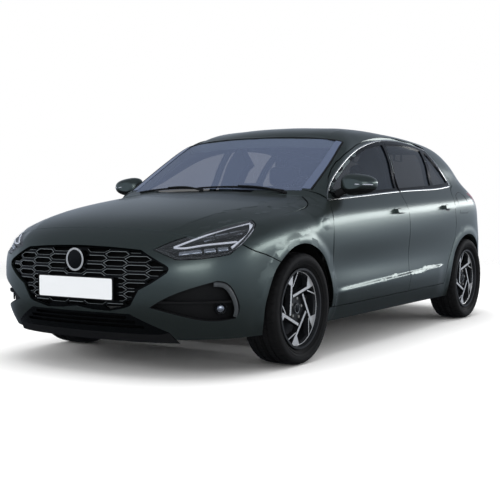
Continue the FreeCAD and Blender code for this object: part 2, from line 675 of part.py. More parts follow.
def roof():
    """The roof skin, with an arm at its back for each of the tailgate's hinges."""
    panel = top_slab(0.30, 1.32, 9, 12, 0, size("roof_thickness"))
    panel = panel.common(prism(roof_line, ABOVE))
    edge = top_slab(0.30, 1.32, 9, 12, SKIN, 2 * size("roof_thickness"))
    panel = panel.cut(edge.common(block(V(-HALF, along(1.18), 0), V(HALF, FAR, FAR))))
    arms = [lid_arm(TAILGATE_HINGE, hand, along(1.16), size("tailgate_hinge_drop")) for hand in (1, -1)]
    return panel.fuse(arms)


def windscreen():
    glass = top_slab(0.07, 0.40, 11, 8, SEAT, size("screen_thickness"))
    return glass.common(prism(screen_line, ABOVE, grow=-SEAT))


def wing():
    """The left front wing: a skin from the headlamp and bonnet to the door, round the wheel."""
    skin = side_slab(-0.75, 0.20, 14, 0, SKIN, -40, 52, 12)
    skin = skin.common(prism(side_view(WING_SHARES), LEFT, grow=-GAP / 2))
    return skin.cut([
        prism(bonnet_line, ABOVE, grow=GAP / 2), prism(screen_line, ABOVE, grow=GAP / 2),
        prism(lamp_line, LAMP_SIGHT, grow=GAP / 2), arch(FRONT_AXLE, FRONT_ARCH),
        block(V(0, -FAR, up(0.69)), V(HALF, FAR, FAR))])


def nose_slab(outer, inner):
    return slab(from_front, places(-80, 80, 23), places(-23, 27, 12), outer, inner)


def front_bumper():
    shell = nose_slab(0, size("bumper_thickness"))
    lamps = both_sides(prism(lamp_line, LAMP_SIGHT, grow=GAP / 2))
    pockets = both_sides(prism(fog_line, LAMP_SIGHT))
    wings = both_sides(prism(side_view(WING_SHARES), LEFT, start=out(0.700), grow=GAP / 2))
    return largest(shell.cut([
        prism(bonnet_line, ABOVE, grow=GAP / 2), lamps, pockets, wings, arch(FRONT_AXLE, FRONT_ARCH),
        prism(grille_line, AHEAD), prism(intake_line, AHEAD), below_bumpers()]))


def below_bumpers():
    return block(V(-HALF, -FAR, -FAR), V(HALF, FAR, size("bumper_height")))


def tail_slab(outer, inner, low, high, rows, turn=72):
    return slab(from_back, places(-turn, turn, 21), places(low, high, rows), outer, inner)


def rear_bumper():
    shell = tail_slab(0, size("bumper_thickness"), -38, 2, 10, 82)
    shell = shell.common(prism(side_view(REAR_BUMPER_SHARES), LEFT, start=-FAR, grow=-GAP / 2, length=2 * FAR))
    return largest(shell.cut([
        prism(tailgate_line, BEHIND, grow=GAP / 2), arch(REAR_AXLE, REAR_ARCH), below_bumpers(),
        both_sides(prism(tail_lamp_line, TAIL_SIGHT, grow=GAP / 2))]))


def body_side():
    """The left side of the body: pillars, roof rail, sill and rear quarter, with its door openings."""
    wall = side_slab(0.13, 1.86, 34, 0, size("wall_depth"), -41, 62, 17)
    wall = wall.cut([
        prism(front_door_line, LEFT, grow=GAP / 2), prism(rear_door_line, LEFT, grow=GAP / 2),
        prism(side_view(WING_SHARES), LEFT, grow=GAP / 2), prism(roof_line, ABOVE, grow=SEAT),
        prism(screen_line, ABOVE, grow=SEAT), prism(bonnet_line, ABOVE, grow=GAP / 2),
        prism(tailgate_line, BEHIND, start=along(1.200), grow=GAP / 2),
        prism(tail_lamp_line, TAIL_SIGHT, grow=SEAT), arch(REAR_AXLE, REAR_ARCH),
        prism(side_view(REAR_BUMPER_SHARES), LEFT, grow=GAP / 2),
        block(V(0, -FAR, 0), V(HALF, FAR, size("sill_height")))])
    wall = largest(wall)
    rail = top_slab(0.12, 1.0, 15, 12, 0, size("rail_depth")).common(prism(rail_line, ABOVE))
    rail = largest(rail.cut([prism(line, ABOVE, grow=SEAT) for line in (screen_line, roof_line)]
                            + [block(V(-HALF, -FAR, 0), V(0, FAR, FAR)),
                               block(V(-HALF, -FAR, 0), V(FAR, along(0.158), FAR))]))
    sill = block(V(HALF * 0.76, along(0.1455), size("sill_height")), V(HALF * 0.935, along(0.800), up(0.195)))
    pieces = [rail, door_post(FRONT_HINGE, along(0.1455)), upper_post(), sill]
    pieces.append(door_post(REAR_HINGE, REAR_HINGE.y - size("hinge_back") - size("rim_width_of_door")))
    for hinge in (FRONT_HINGE, REAR_HINGE):
        pieces += [hinge_arm(hinge, z) for z in HINGE_HEIGHTS]
    return wall.fuse(pieces)


def hinge_place(y, z):
    """A door's upright hinge axis, behind its front edge and under its skin where that is widest."""
    place = V(0, y + size("hinge_back"), 0)
    place.x = from_middle(place.y, 0, 0, out(0.8))[0].x - size("hinge_inset")
    return place


FRONT_HINGE = hinge_place(along(0.137) + GAP / 2, 0)
REAR_HINGE = hinge_place(along(0.5665) + GAP / 2, 0)
HINGE_HEIGHTS = (up(0.262), up(0.485))


def door_post(hinge, front):
    """The lower post that a door hangs from, inboard of the door's swinging edge."""
    reach_in = size("hinge_back") + size("hinge_inset") + GAP
    return block(V(hinge.x - reach_in - size("post_width"), front, size("sill_height")),
                 V(hinge.x - reach_in, hinge.y + size("hinge_arm_width") / 2, up(0.630)))


def upper_post():
    """The middle pillar above the belt, behind the door frames."""
    post = side_slab(0.545, 0.610, 4, size("frame_depth") + 3 * GAP, size("door_depth") + 2 * OVER, 8, 58, 10)
    lean = (0.592 - 0.568) * BASE
    points = [V(0, REAR_HINGE.y - BASE * 0.038, up(0.62)), V(0, REAR_HINGE.y - BASE * 0.002, up(0.62)),
              V(0, REAR_HINGE.y - BASE * 0.002 + lean, up(0.97)), V(0, REAR_HINGE.y - BASE * 0.038 + lean, up(0.97))]
    post = post.common(Part.Face(Part.makePolygon(points + points[:1])).extrude(LEFT * FAR))
    reach_in = size("hinge_back") + size("hinge_inset") + GAP
    return post.cut(block(V(REAR_HINGE.x - reach_in, 0, 0), V(FAR, FAR, up(0.672))))


def hinge_arm(hinge, z):
    """The fixed half of a hinge: an arm out from the post, its knuckle, and the pin."""
    radius, high = size("hinge_knuckle_radius"), size("hinge_knuckle_height")
    reach_in = size("hinge_back") + size("hinge_inset") + GAP + OVER / 4
    arm = block(V(hinge.x - reach_in, hinge.y - size("hinge_arm_width") / 2, z),
                V(hinge.x, hinge.y + size("hinge_arm_width") / 2, z + high))
    knuckle_ring = Part.makeCylinder(radius, high, V(hinge.x, hinge.y, z))
    pin = Part.makeCylinder(size("hinge_pin_radius"), 2 * high, V(hinge.x, hinge.y, z))
    return arm.fuse([knuckle_ring, pin])


def hinge_eye(hinge, z):
    """The door's half of a hinge, on the pin."""
    radius, high = size("hinge_knuckle_radius"), size("hinge_knuckle_height")
    low = z + high + SEAT
    eye = Part.makeCylinder(radius, high - SEAT, V(hinge.x, hinge.y, low))
    arm = block(V(hinge.x - radius, hinge.y, low),
                V(hinge.x + radius / 2, hinge.y + size("hinge_room") + GAP, low + high - SEAT))
    hole = Part.makeCylinder(size("hinge_pin_radius") + size("pin_gap"), 3 * high, V(hinge.x, hinge.y, z))
    return eye.fuse(arm).cut(hole)


def door(line, glasses, hinge, first, last, belt_share):
    """A door: a deep box below the belt and a slim frame round its glass, with a thin rim at its edge."""
    def wall(outer, inner):
        return side_slab(first, last, 12, outer, inner, -38, 52, 17)

    deep = 2 * size("door_depth")
    panel = side_slab(first, last, 14, 0, size("door_depth"), -38, 52, 17, True).common(prism(line, LEFT, grow=-GAP / 2))
    under_skin = side_slab(first, last, 14, SKIN, deep, -38, 52, 17, True)
    inner_box = prism(line, LEFT, grow=-RIM).cut(block(V(0, -FAR, 0), V(FAR, hinge.y + size("hinge_room"), FAR)))
    panel = panel.cut(under_skin.cut(inner_box))
    panel = panel.cut(wall(size("frame_depth"), deep).common(block(V(0, -FAR, up(belt_share)), V(FAR, FAR, FAR))))
    panel = panel.cut(prism(rail_line, ABOVE, grow=GAP))
    panel = panel.cut([prism(side_view(glass), LEFT, grow=SEAT) for glass in glasses])
    panel = largest(panel)
    return panel.fuse([hinge_eye(hinge, z) for z in HINGE_HEIGHTS])


def door_glass(glasses, first, last):
    pane = side_slab(first, last, 12, size("glass_set"), size("glass_set") + size("glass_thickness"), 5, 52, 8)
    return Part.makeCompound([pane.common(prism(side_view(glass), LEFT)) for glass in glasses])


def tailgate():
    shell = tail_slab(0, size("tailgate_thickness"), -10, 74, 20)
    shell = shell.common(prism(tailgate_line, BEHIND, start=along(1.200), grow=-GAP / 2))
    under_skin = tail_slab(SKIN, 2 * size("tailgate_thickness"), -10, 74, 20)
    rim = under_skin.cut(prism(tailgate_line, BEHIND, grow=-RIM))
    hinge_side = under_skin.common(block(V(-HALF, 0, 0), V(HALF, TAILGATE_HINGE.y + size("hinge_room"), FAR)))
    shell = shell.cut([rim, hinge_side, prism(roof_line, ABOVE, grow=GAP)])
    shell = shell.cut([
        prism(tailgate_glass_line, BEHIND, start=along(1.200), grow=SEAT),
        both_sides(prism(tail_lamp_line, TAIL_SIGHT, grow=SEAT))])
    return shell.fuse([lid_eye(TAILGATE_HINGE, hand, along(1.40)) for hand in (1, -1)])


def tailgate_glass():
    pane = tail_slab(SEAT, size("screen_thickness"), 12, 62, 10)
    return pane.common(prism(tailgate_glass_line, BEHIND, start=along(1.200)))


def lamp_body():
    """The left headlamp's housing under its clear cover: a rim round a recess, with two rows of light bars."""
    body = nose_slab(size("lens_thickness") + SEAT, size("lamp_depth")).common(prism(lamp_line, LAMP_SIGHT, grow=-GAP / 4))
    recess = nose_slab(0, size("lamp_depth") / 3).common(prism(lamp_line, LAMP_SIGHT, grow=-size("lamp_rim")))
    bars = nose_slab(2 * size("lens_thickness"), size("lamp_depth") / 2).common(prism(lamp_line, LAMP_SIGHT, grow=-size("lamp_rim")))
    rows = [largest(bars.common(any_plank(share))) for share in (0, 0.5)]
    return body.cut(recess).fuse(rows).cut(bonnet_room())


def bonnet_room():
    """The space that the bonnet takes up, with its gap."""
    room = top_slab(-0.86, 0.16, 15, 12, -OVER, size("bonnet_thickness") + SEAT)
    return room.common(prism(bonnet_line, ABOVE, grow=GAP / 2))


def any_plank(share):
    """A thin slanted sheet that a headlamp's light bar is cut from."""
    low = up(0.448) + share * up(0.040)
    points = [V(0, along(-0.92), low), V(0, along(-0.40), low + up(0.062)), V(0, along(-0.40), low + up(0.069)),
              V(0, along(-0.92), low + up(0.007))]
    return Part.Face(Part.makePolygon(points + points[:1])).extrude(LEFT * FAR)


def lamp_lens():
    return nose_slab(0, size("lens_thickness")).common(prism(lamp_line, LAMP_SIGHT, grow=-GAP / 4)).cut(bonnet_room())


def tail_lamp():
    """The left rear lamp, across the shut line of the tailgate."""
    lamp = tail_slab(0, size("bumper_thickness"), -6, 24, 8, 82)
    return lamp.common(prism(tail_lamp_line, TAIL_SIGHT))


def outer_lamp():
    return tail_lamp().cut(prism(tailgate_line, BEHIND, start=along(1.200), grow=GAP / 2))


def inner_lamp():
    return tail_lamp().common(prism(tailgate_line, BEHIND, start=along(1.200), grow=-GAP / 2))


# Wheels and what carries them

RIM_RADIUS, RIM_HALF = size("rim_diameter") / 2, size("rim_width") / 2
TYRE_HALF = size("tyre_width") / 2
KINGPIN_LEAN_SHARE = 0.30
KINGPIN_FOOT = V(size("front_track") / 2 - 48, FRONT_AXLE, HUB - 112)
KINGPIN = V(-KINGPIN_LEAN_SHARE, 0, 1).normalize()


def wheel_place(front):
    if front:
        return V(size("front_track") / 2, FRONT_AXLE, HUB)
    return V(size("rear_track") / 2, REAR_AXLE, HUB)


def turned(shares, centre, radius, half_width):
    """A ring turned about a wheel's axle from a profile of radius shares and width shares."""
    points = [V(centre.x + w * half_width, centre.y, centre.z + r * radius) for r, w in shares]
    profile = Part.Face(Part.makePolygon(points + points[:1]))
    return profile.revolve(centre, LEFT, 360)


TYRE_SHARES = [
    (0.722, 0.80), (0.735, 0.93), (0.800, 1.0), (0.880, 1.0), (0.960, 0.93), (0.993, 0.78), (1.0, 0.4),
    (1.0, -0.4), (0.993, -0.78), (0.960, -0.93), (0.880, -1.0), (0.800, -1.0), (0.735, -0.93), (0.722, -0.80)]
RIM_SHARES = [
    (1.0, 1.0), (1.0, 0.93), (0.965, 0.90), (0.950, 0.70), (0.900, 0.55), (0.900, -0.60), (0.960, -0.80),
    (0.965, -0.93), (1.0, -0.95), (1.0, -1.0), (0.945, -1.0), (0.925, -0.80), (0.865, -0.60), (0.865, 0.62),
    (0.915, 0.78), (0.945, 1.0)]
BELL_BACK_SHARE = 0.06
HUB_SHARES = [(0, 0.66), (0.12, 0.66), (0.14, 0.58), (0.40, 0.56), (0.41, 0.40), (0.33, 0.25), (0, 0.25)]
DISC_SHARES = [(0.28, -0.08), (0.66, -0.08), (0.66, 0.06), (0.28, 0.06)]
BELL_SHARES = [(0, BELL_BACK_SHARE), (0.34, BELL_BACK_SHARE), (0.34, 0.30), (0, 0.30)]
BLADE_SHARES = [
    [(-0.440, 0.066), (-0.372, 0.028), (0.045, 0.660), (-0.030, 0.700)],
    [(-0.040, 0.660), (0.045, 0.640), (0.200, 0.905), (-0.200, 0.905)],
    [(0, 0.612), (0.045, 0.590), (0.465, 0.805), (0.435, 0.840)],
]
BLADES, BLADE_LEAN, BLADE_BACK_SHARE, BLADE_FACE_SHARE = 5, -28, 0.40, 0.74


def tyre(centre):
    return turned(TYRE_SHARES, centre, HUB, TYRE_HALF)


def blade(centre, turn):
    """One arm of the wheel, past the hub to a pad on the rim, with a thin branch beside the pad."""
    back, face = RIM_HALF * BLADE_BACK_SHARE, RIM_HALF * BLADE_FACE_SHARE
    pieces = []
    for shares in BLADE_SHARES:
        points = [V(centre.x + back, centre.y + y * RIM_RADIUS, centre.z + z * RIM_RADIUS) for y, z in shares]
        piece = Part.Face(Part.makePolygon(points + points[:1])).extrude(V(face - back, 0, 0))
        piece.rotate(centre, LEFT, -turn)
        pieces.append(piece)
    return pieces


def wheel(centre):
    """An alloy rim with five crossing blades on its hub, and the brake disc behind them."""
    rim = turned(RIM_SHARES, centre, RIM_RADIUS, RIM_HALF)
    hub = turned(HUB_SHARES, centre, RIM_RADIUS, RIM_HALF)
    blades = [piece for turn in range(BLADES) for piece in blade(centre, BLADE_LEAN + turn * 360 / BLADES)]
    bell = turned(BELL_SHARES, centre, RIM_RADIUS, RIM_HALF)
    disc = turned(DISC_SHARES, centre, RIM_RADIUS, RIM_HALF)
    return rim.fuse([hub, bell, disc] + blades)


def brake_caliper(centre, hand=1):
    """A caliper behind the axle, round the edge of the brake disc."""
    inner, outer = sorted((centre.x - hand * RIM_HALF * 0.42, centre.x + hand * RIM_HALF * 0.30))
    body = block(V(inner, centre.y + RIM_RADIUS * 0.42, centre.z - RIM_RADIUS * 0.26),
                 V(outer, centre.y + RIM_RADIUS * 0.76, centre.z + RIM_RADIUS * 0.26))
    slot = [(0, -0.14 * hand), (0.70, -0.14 * hand), (0.70, 0.12 * hand), (0, 0.12 * hand)]
    return body.cut(turned(slot, centre, RIM_RADIUS, RIM_HALF))


def stub(centre, hand, inner_x):
    """The bearing that carries a wheel, up to the back of its hub."""
    end = centre.x + hand * (RIM_HALF * BELL_BACK_SHARE - SEAT)
    return Part.makeCylinder(RIM_RADIUS * 0.16, abs(end - inner_x), V(inner_x, centre.y, centre.z), LEFT * hand)


def knuckle(centre):
    """The left upright: a hub carrier on the steering axis, with the brake caliper round the disc's edge."""
    low, high = KINGPIN_FOOT + KINGPIN * (HUB * 0.032 + SEAT), KINGPIN_FOOT + KINGPIN * HUB * 0.92
    post = Part.makeCylinder(RIM_RADIUS * 0.10, (high - low).Length, low, KINGPIN)
    bracket = block(V(centre.x - RIM_HALF * 0.92, centre.y, centre.z - RIM_RADIUS * 0.12),
                    V(centre.x - RIM_HALF * 0.30, centre.y + RIM_RADIUS * 0.5, centre.z + RIM_RADIUS * 0.12))
    return stub(centre, 1, centre.x - RIM_HALF * 0.92).fuse([post, bracket, brake_caliper(centre)])


def front_subframe():
    """The cross member with its lower arms, and the spring struts up to the towers."""
    member = block(V(-HALF * 0.45, FRONT_AXLE - HUB * 0.15, HUB * 0.50),
                   V(HALF * 0.45, FRONT_AXLE + HUB * 0.55, HUB * 0.68))
    arms, struts = [], []
    for hand in (1, -1):
        foot = V(hand * KINGPIN_FOOT.x, KINGPIN_FOOT.y, KINGPIN_FOOT.z - HUB * 0.05)
        for back in (0.0, 0.45):
            arms.append(tube([V(hand * HALF * 0.42, FRONT_AXLE + HUB * back, HUB * 0.6), foot], HUB * 0.055))
        arms.append(Part.makeSphere(HUB * 0.07, foot))
        axis = V(hand * KINGPIN.x, 0, KINGPIN.z)
        start = V(hand * KINGPIN_FOOT.x, KINGPIN_FOOT.y, KINGPIN_FOOT.z) + axis * (HUB * 0.92 + SEAT)
        top = up(0.560) - SEAT
        strut = Part.makeCylinder(HUB * 0.08, HUB * 2, start, axis)
        struts.append(strut.common(block(V(-HALF, -FAR, 0), V(HALF, FAR, top))))
    return Part.makeCompound([member.fuse(arms)] + struts)


def rear_axle():
    """A torsion beam between two trailing arms, with a stub, a damper and a caliper at each wheel."""
    beam = Part.makeCylinder(HUB * 0.13, HALF * 1.30, V(-HALF * 0.65, REAR_AXLE - HUB * 0.62, HUB), LEFT)
    pieces = []
    for hand in (1, -1):
        centre = wheel_place(False)
        centre.x *= hand
        arm = tube([V(hand * HALF * 0.60, REAR_AXLE - HUB * 1.50, HUB * 1.02),
                    V(hand * HALF * 0.62, REAR_AXLE - HUB * 0.62, HUB), V(hand * HALF * 0.68, REAR_AXLE, HUB)],
                   HUB * 0.09)
        bracket = block(V(min(hand * HALF * 0.66, hand * HALF * 0.835), REAR_AXLE, HUB * 0.90),
                        V(max(hand * HALF * 0.66, hand * HALF * 0.835), REAR_AXLE + RIM_RADIUS * 0.5, HUB * 1.10))
        damper = tube([V(hand * HALF * 0.69, REAR_AXLE + HUB * 0.15, HUB),
                       V(hand * HALF * 0.665, REAR_AXLE + HUB * 0.40, HUB * 1.92)], HUB * 0.06)
        pieces += [arm, stub(centre, hand, hand * HALF * 0.66), bracket, damper, brake_caliper(centre, hand)]
    return beam.fuse(pieces)


# Under the body and inside it

def floor_pan():
    """The bulkhead with the bonnet's hinges, the toe board, floor and raised rear floor as one bent sheet, out to the sills between the wheels."""
    low, thick = size("floor_height"), size("floor_thickness")
    top = [V(0, along(0.140), up(0.625)), V(0, along(0.146), low), V(0, along(0.740), low)]
    top += [V(0, along(0.775), up(0.268)), V(0, along(0.900), up(0.285)), V(0, along(1.830), up(0.285))]
    under = [p - V(0, thick * 0.2, thick) for p in reversed(top)]
    pan = Part.Face(Part.makePolygon(top + under + top[:1])).extrude(V(2 * HALF, 0, 0))
    pan.translate(V(-HALF, 0, 0))
    outside = side_slab(-0.10, 1.86, 20, -OVER, size("wall_depth") + GAP / 2, -60, 62, 20)
    wells = [Part.makeCylinder(liner_radius(radius) + size("liner_thickness") + SEAT, FAR,
                               V(hand * size("liner_inner_width"), axle, HUB), LEFT * hand)
             for axle, radius in WHEELS for hand in (1, -1)]
    doorway = block(V(HALF * 0.76 - SEAT, along(0.10), 0), V(HALF, along(0.81), FAR))
    rear_sides = block(V(size("liner_inner_width"), along(0.84), up(0.2)), V(HALF, FAR, up(0.4)))
    doors = prism(rear_door_line, LEFT, start=HALF * 0.84, grow=GAP)
    pan = largest(pan.cut([both_sides(outside), both_sides(rear_sides), both_sides(doorway), both_sides(doors)] + wells))
    top_edge = V(0, along(0.140), up(0.61))
    stands = []
    for hand in (1, -1):
        x, wide = hand * BONNET_HINGE.x, size("hinge_knuckle_height") / 2
        stands.append(block(V(min(x, x - hand * wide), BONNET_HINGE.y, top_edge.z),
                            V(max(x, x - hand * wide), top_edge.y + OVER / 10, BONNET_HINGE.z + size("hinge_knuckle_radius") / 2)))
        stands.append(lid_arm(BONNET_HINGE, hand, top_edge.y))
    return pan.fuse(stands)


def liner_radius(radius):
    return radius + SEAT


def arch_liners():
    """Half-round housings over the wheels, out to the skin, and closed inboard at the back."""
    liners = []
    thick = size("liner_thickness")
    settings = zip(WHEELS, (HALF * 0.71, size("liner_inner_width")), (size("bumper_thickness"), size("wall_depth")))
    for (axle, radius), inner, deep in settings:
        low = liner_radius(radius)
        ring = Part.makeCylinder(low + thick, HALF + OVER / 2 - inner, V(inner, axle, HUB), LEFT)
        ring = ring.cut(Part.makeCylinder(low, 2 * HALF, V(0, axle, HUB), LEFT))
        if axle == REAR_AXLE:
            cheek = Part.makeCylinder(low + thick, thick, V(inner, axle, HUB), LEFT)
            ring = ring.fuse(cheek.cut(block(V(0, -FAR, 0), V(FAR, FAR, up(0.285) - size("floor_thickness")))))
        skin = side_slab(-0.50, 1.50, 26, -OVER, deep + GAP, -40, 40, 12)
        below = block(V(0, -FAR, -FAR), V(FAR, FAR, up(0.215 if axle == FRONT_AXLE else 0.250)))
        liners.append(largest(ring.cut([skin, below])))
    return Part.makeCompound([both_sides(liner) for liner in liners])


def inner_structure():
    """The front rails with strut towers and crash beam, the rear panel and the header over the tailgate."""
    pieces = [block(V(-HALF * 0.56, along(-0.855), up(0.275)), V(HALF * 0.56, along(-0.815), up(0.35)))]
    for hand in (1, -1):
        low, high = sorted((hand * HALF * 0.48, hand * HALF * 0.535))
        pieces.append(block(V(low, along(-0.82), up(0.275)), V(high, along(0.1405), up(0.35))))
        pieces.append(block(V(low, FRONT_AXLE - HUB * 0.3, up(0.30)), V(high, FRONT_AXLE + HUB * 0.3, up(0.575))))
        low, high = sorted((hand * HALF * 0.48, hand * HALF * 0.72))
        pieces.append(block(V(low, FRONT_AXLE - HUB * 0.3, up(0.560)), V(high, FRONT_AXLE + HUB * 0.3, up(0.575))))
    frame = pieces[0].fuse(pieces[1:])
    back = block(V(-HALF * 0.56, along(1.79), up(0.285) + SEAT), V(HALF * 0.56, along(1.81), up(0.430)))
    return Part.makeCompound([frame, back])


def seat(x, y, wide):
    """A cushion, a raked back and a head rest."""
    base = block(V(x - wide / 2, y, up(0.24)), V(x + wide / 2, y + BASE * 0.19, up(0.36)))
    rails = block(V(x - wide * 0.42, y + BASE * 0.02, size("floor_height") + SEAT), V(x + wide * 0.42, y + BASE * 0.17, up(0.25)))
    back = block(V(x - wide / 2, y + BASE * 0.165, up(0.31)), V(x + wide / 2, y + BASE * 0.215, up(0.72)))
    back.rotate(V(x, y + BASE * 0.19, up(0.31)), LEFT, -18)
    head = block(V(x - wide * 0.27, y + BASE * 0.245, up(0.715)), V(x + wide * 0.27, y + BASE * 0.285, up(0.83)))
    posts = block(V(x - wide * 0.14, y + BASE * 0.255, up(0.66)), V(x + wide * 0.14, y + BASE * 0.265, up(0.73)))
    return base.fuse([rails, back, posts, head])


def rear_bench():
    half = HALF * 0.615
    foot = up(0.2855) + SEAT
    cushion = block(V(-half, along(0.780), foot), V(half, along(0.905), up(0.385)))
    rest = block(V(-half, along(0.895), up(0.315)), V(half, along(0.935), up(0.70)))
    rest.rotate(V(0, along(0.895), up(0.315)), LEFT, -20)
    return cushion.fuse(rest)


def dashboard():
    line = [(0.149, 0.45), (0.149, 0.640), (0.230, 0.650), (0.300, 0.630), (0.310, 0.560), (0.270, 0.480), (0.240, 0.40)]
    points = [V(-HALF * 0.74, along(y), up(z)) for y, z in line]
    body = Part.Face(Part.makePolygon(points + points[:1])).extrude(V(HALF * 1.48, 0, 0))
    centre, axis = steering_wheel_frame()
    socket = Part.makeCylinder(BASE * 0.009 + SEAT, BASE * 0.2, centre - axis * (BASE * 0.095 + SEAT), axis)
    return body.cut(socket)


def steering_wheel_frame():
    centre = V(HALF * 0.40, along(0.385), up(0.625))
    axis = V(0, 0.93, 0.37).normalize()
    return centre, axis


def steering_wheel():
    centre, axis = steering_wheel_frame()
    across = axis.cross(LEFT)
    corners = [centre + across * (BASE * 0.070 + BASE * 0.0062 * math.cos(math.tau * (i + 0.5) / 8))
               + axis * (BASE * 0.0062 * math.sin(math.tau * (i + 0.5) / 8)) for i in range(8)]
    ring = Part.Face(Part.makePolygon(corners + corners[:1])).revolve(centre, axis, 360)
    hub = Part.makeCylinder(BASE * 0.028, BASE * 0.014, centre - axis * BASE * 0.014, axis)
    column = Part.makeCylinder(BASE * 0.009, BASE * 0.085, centre - axis * BASE * 0.095, axis)
    bars = []
    for turn in (0, 180, 90):
        bar = block(centre - V(0, BASE * 0.004, BASE * 0.004), centre + V(BASE * 0.070, BASE * 0.004, BASE * 0.004))
        bar.rotate(centre, axis, turn)
        bars.append(bar)
    return ring.fuse([hub, column] + bars)


def scuttle():
    """The dark panel between the bonnet and the windscreen."""
    panel = top_slab(0.04, 0.18, 15, 5, size("bonnet_thickness") / 2, size("bonnet_thickness"))
    region = block(V(-HALF * 0.68, along(0.06), 0), V(HALF * 0.68, along(0.150), FAR))
    return panel.common(region).cut([prism(bonnet_line, ABOVE, grow=GAP), prism(screen_line, ABOVE, grow=SEAT)])


def hexagon(x, z, half_width, half_height):
    """A long six-sided cell, seen from the front."""
    tip = half_height * CELL_TIP_SHARE
    ring = [V(x + a, 0, z + b) for a, b in (
        (-half_width, 0), (tip - half_width, half_height), (half_width - tip, half_height), (half_width, 0),
        (half_width - tip, -half_height), (tip - half_width, -half_height))]
    return Part.makePolygon(ring + ring[:1])


def grille():
    """A curved mesh of long staggered cells, with a round boss and a backing for the plate."""
    wide, tall = size("cell_pitch"), size("cell_rise")
    cells = []
    for row in range(int(up(0.24) / tall)):
        for column in range(-2, 3):
            x, z = (column + (row % 2) / 2) * wide, up(0.256) + row * tall
            cells.append(Part.Face(hexagon(x, z, wide * CELL_SHARE, tall * CELL_HIGH_SHARE)).extrude(AHEAD * FAR))
    cells = Part.makeCompound(cells).common(prism(grille_line, AHEAD, grow=-size("cell_margin")))
    mesh = nose_slab(size("grille_set"), size("grille_set") + size("grille_depth"))
    mesh = largest(mesh.common(prism(grille_line, AHEAD, grow=-SEAT)).cut(cells))
    front = V(0, NOSE(up(0.385)) + size("boss_set"), up(0.420))
    boss = Part.makeCylinder(size("boss_radius"), size("grille_depth") + GAP, front, BEHIND)
    backing = block(V(-size("plate_length") / 2, NOSE(up(0.318)) + GAP, up(0.318) - size("plate_height") / 2),
                    V(size("plate_length") / 2, NOSE(up(0.318)) + size("grille_depth"), up(0.318) + size("plate_height") / 2))
    return mesh.fuse([boss, backing])


def lower_grille():
    """The intake under the bumper's bar, with three slots, and the lip under it."""
    trim = nose_slab(0, size("bumper_thickness")).common(prism(intake_line, AHEAD, grow=-SEAT))
    trim = trim.cut(below_bumpers())
    slots = []
    for row in range(3):
        z = up(0.180) + row * up(0.0165)
        half = out(0.36) + (2 - row) * out(0.05)
        slots.append(block(V(-half, -FAR, z), V(half, 0, z + up(0.0105))))
    return largest(trim.cut(slots))


def fog_pocket():
    """A pocket in the bumper's corner, with a blade across it and a round lamp."""
    shell = nose_slab(SEAT, size("pocket_depth")).common(prism(fog_line, LAMP_SIGHT, grow=-SEAT))
    hollow = nose_slab(-OVER, size("pocket_depth") - size("skin_depth")).common(
        prism(fog_line, LAMP_SIGHT, grow=-size("skin_depth")))
    place = V(out(0.832), along(-0.680), up(0.252))
    lamp = Part.makeCylinder(size("fog_radius"), size("pocket_depth") * 0.8, place, LAMP_SIGHT * -1)
    blade = nose_slab(size("pocket_depth") * 0.3, size("pocket_depth")).common(prism(fog_line, LAMP_SIGHT, grow=-SEAT))
    blade = blade.common(block(V(0, -FAR, up(0.272)), V(FAR, FAR, up(0.280))))
    return shell.cut(hollow).fuse([blade, lamp.common(nose_slab(GAP, size("pocket_depth")))])


def handle(y, z):
    """A pull handle: a bar that stands off the door on two feet."""
    length, tall = size("handle_length"), size("handle_height")
    centre = V(0, y, z)
    def piece(first, last, outer, inner):
        shell = slab(from_middle, places(y - length, y + length, 5), places(-2, 28, 6), outer, inner)
        return shell.common(block(V(0, y + first * length, z - tall / 2), V(FAR, y + last * length, z + tall / 2)))
    stand = size("handle_stand")
    bar = piece(-0.5, 0.5, -stand, -stand * 0.45)
    return bar.fuse([piece(first, first + 0.16, -stand * 0.6, -5 * SEAT) for first in (-0.5, 0.34)])


def mirror():
    """The left door mirror: a rounded housing lofted along the car, open at the back for its glass, on an arm."""
    middle = V(size("mirror_out"), along(0.215), up(0.706))
    wide, tall = size("mirror_width") / 2, size("mirror_height") / 2
    rings = []
    for back, share in ((0, 0.45), (0.12, 0.72), (0.40, 0.93), (0.75, 1.0), (1.0, 0.97)):
        ring = []
        for step in range(16):
            turn = math.tau * step / 16
            level = abs(math.cos(turn)) ** 0.75 * math.copysign(1, math.cos(turn))
            rise = abs(math.sin(turn)) ** 0.75 * math.copysign(1, math.sin(turn))
            ring.append(middle + V(level * wide * share + back * wide * 0.10, back * size("mirror_depth"),
                                   rise * tall * share * (1 - 0.22 * level)))
        curve = Part.BSplineCurve()
        curve.interpolate(Points=ring, PeriodicFlag=True)
        rings.append(Part.Wire(curve.toShape()))
    shell = Part.makeLoft(rings, True)
    last = middle + V(0, size("mirror_depth"), 0)
    mouth = block(last - V(wide * 0.85, GAP, tall * 0.72), last + V(wide * 0.80, GAP, tall * 0.72))
    arm = tube([V(HALF * 0.86, middle.y + BASE * 0.003, up(0.655)), middle + V(-wide * 0.55, size("mirror_depth") * 0.5, -tall * 0.4)],
               size("mirror_arm"))
    door_side = side_slab(0.10, 0.40, 8, -2 * SEAT, 4 * OVER, 5, 40, 8)
    return shell.cut(mouth).fuse(arm).cut(door_side)


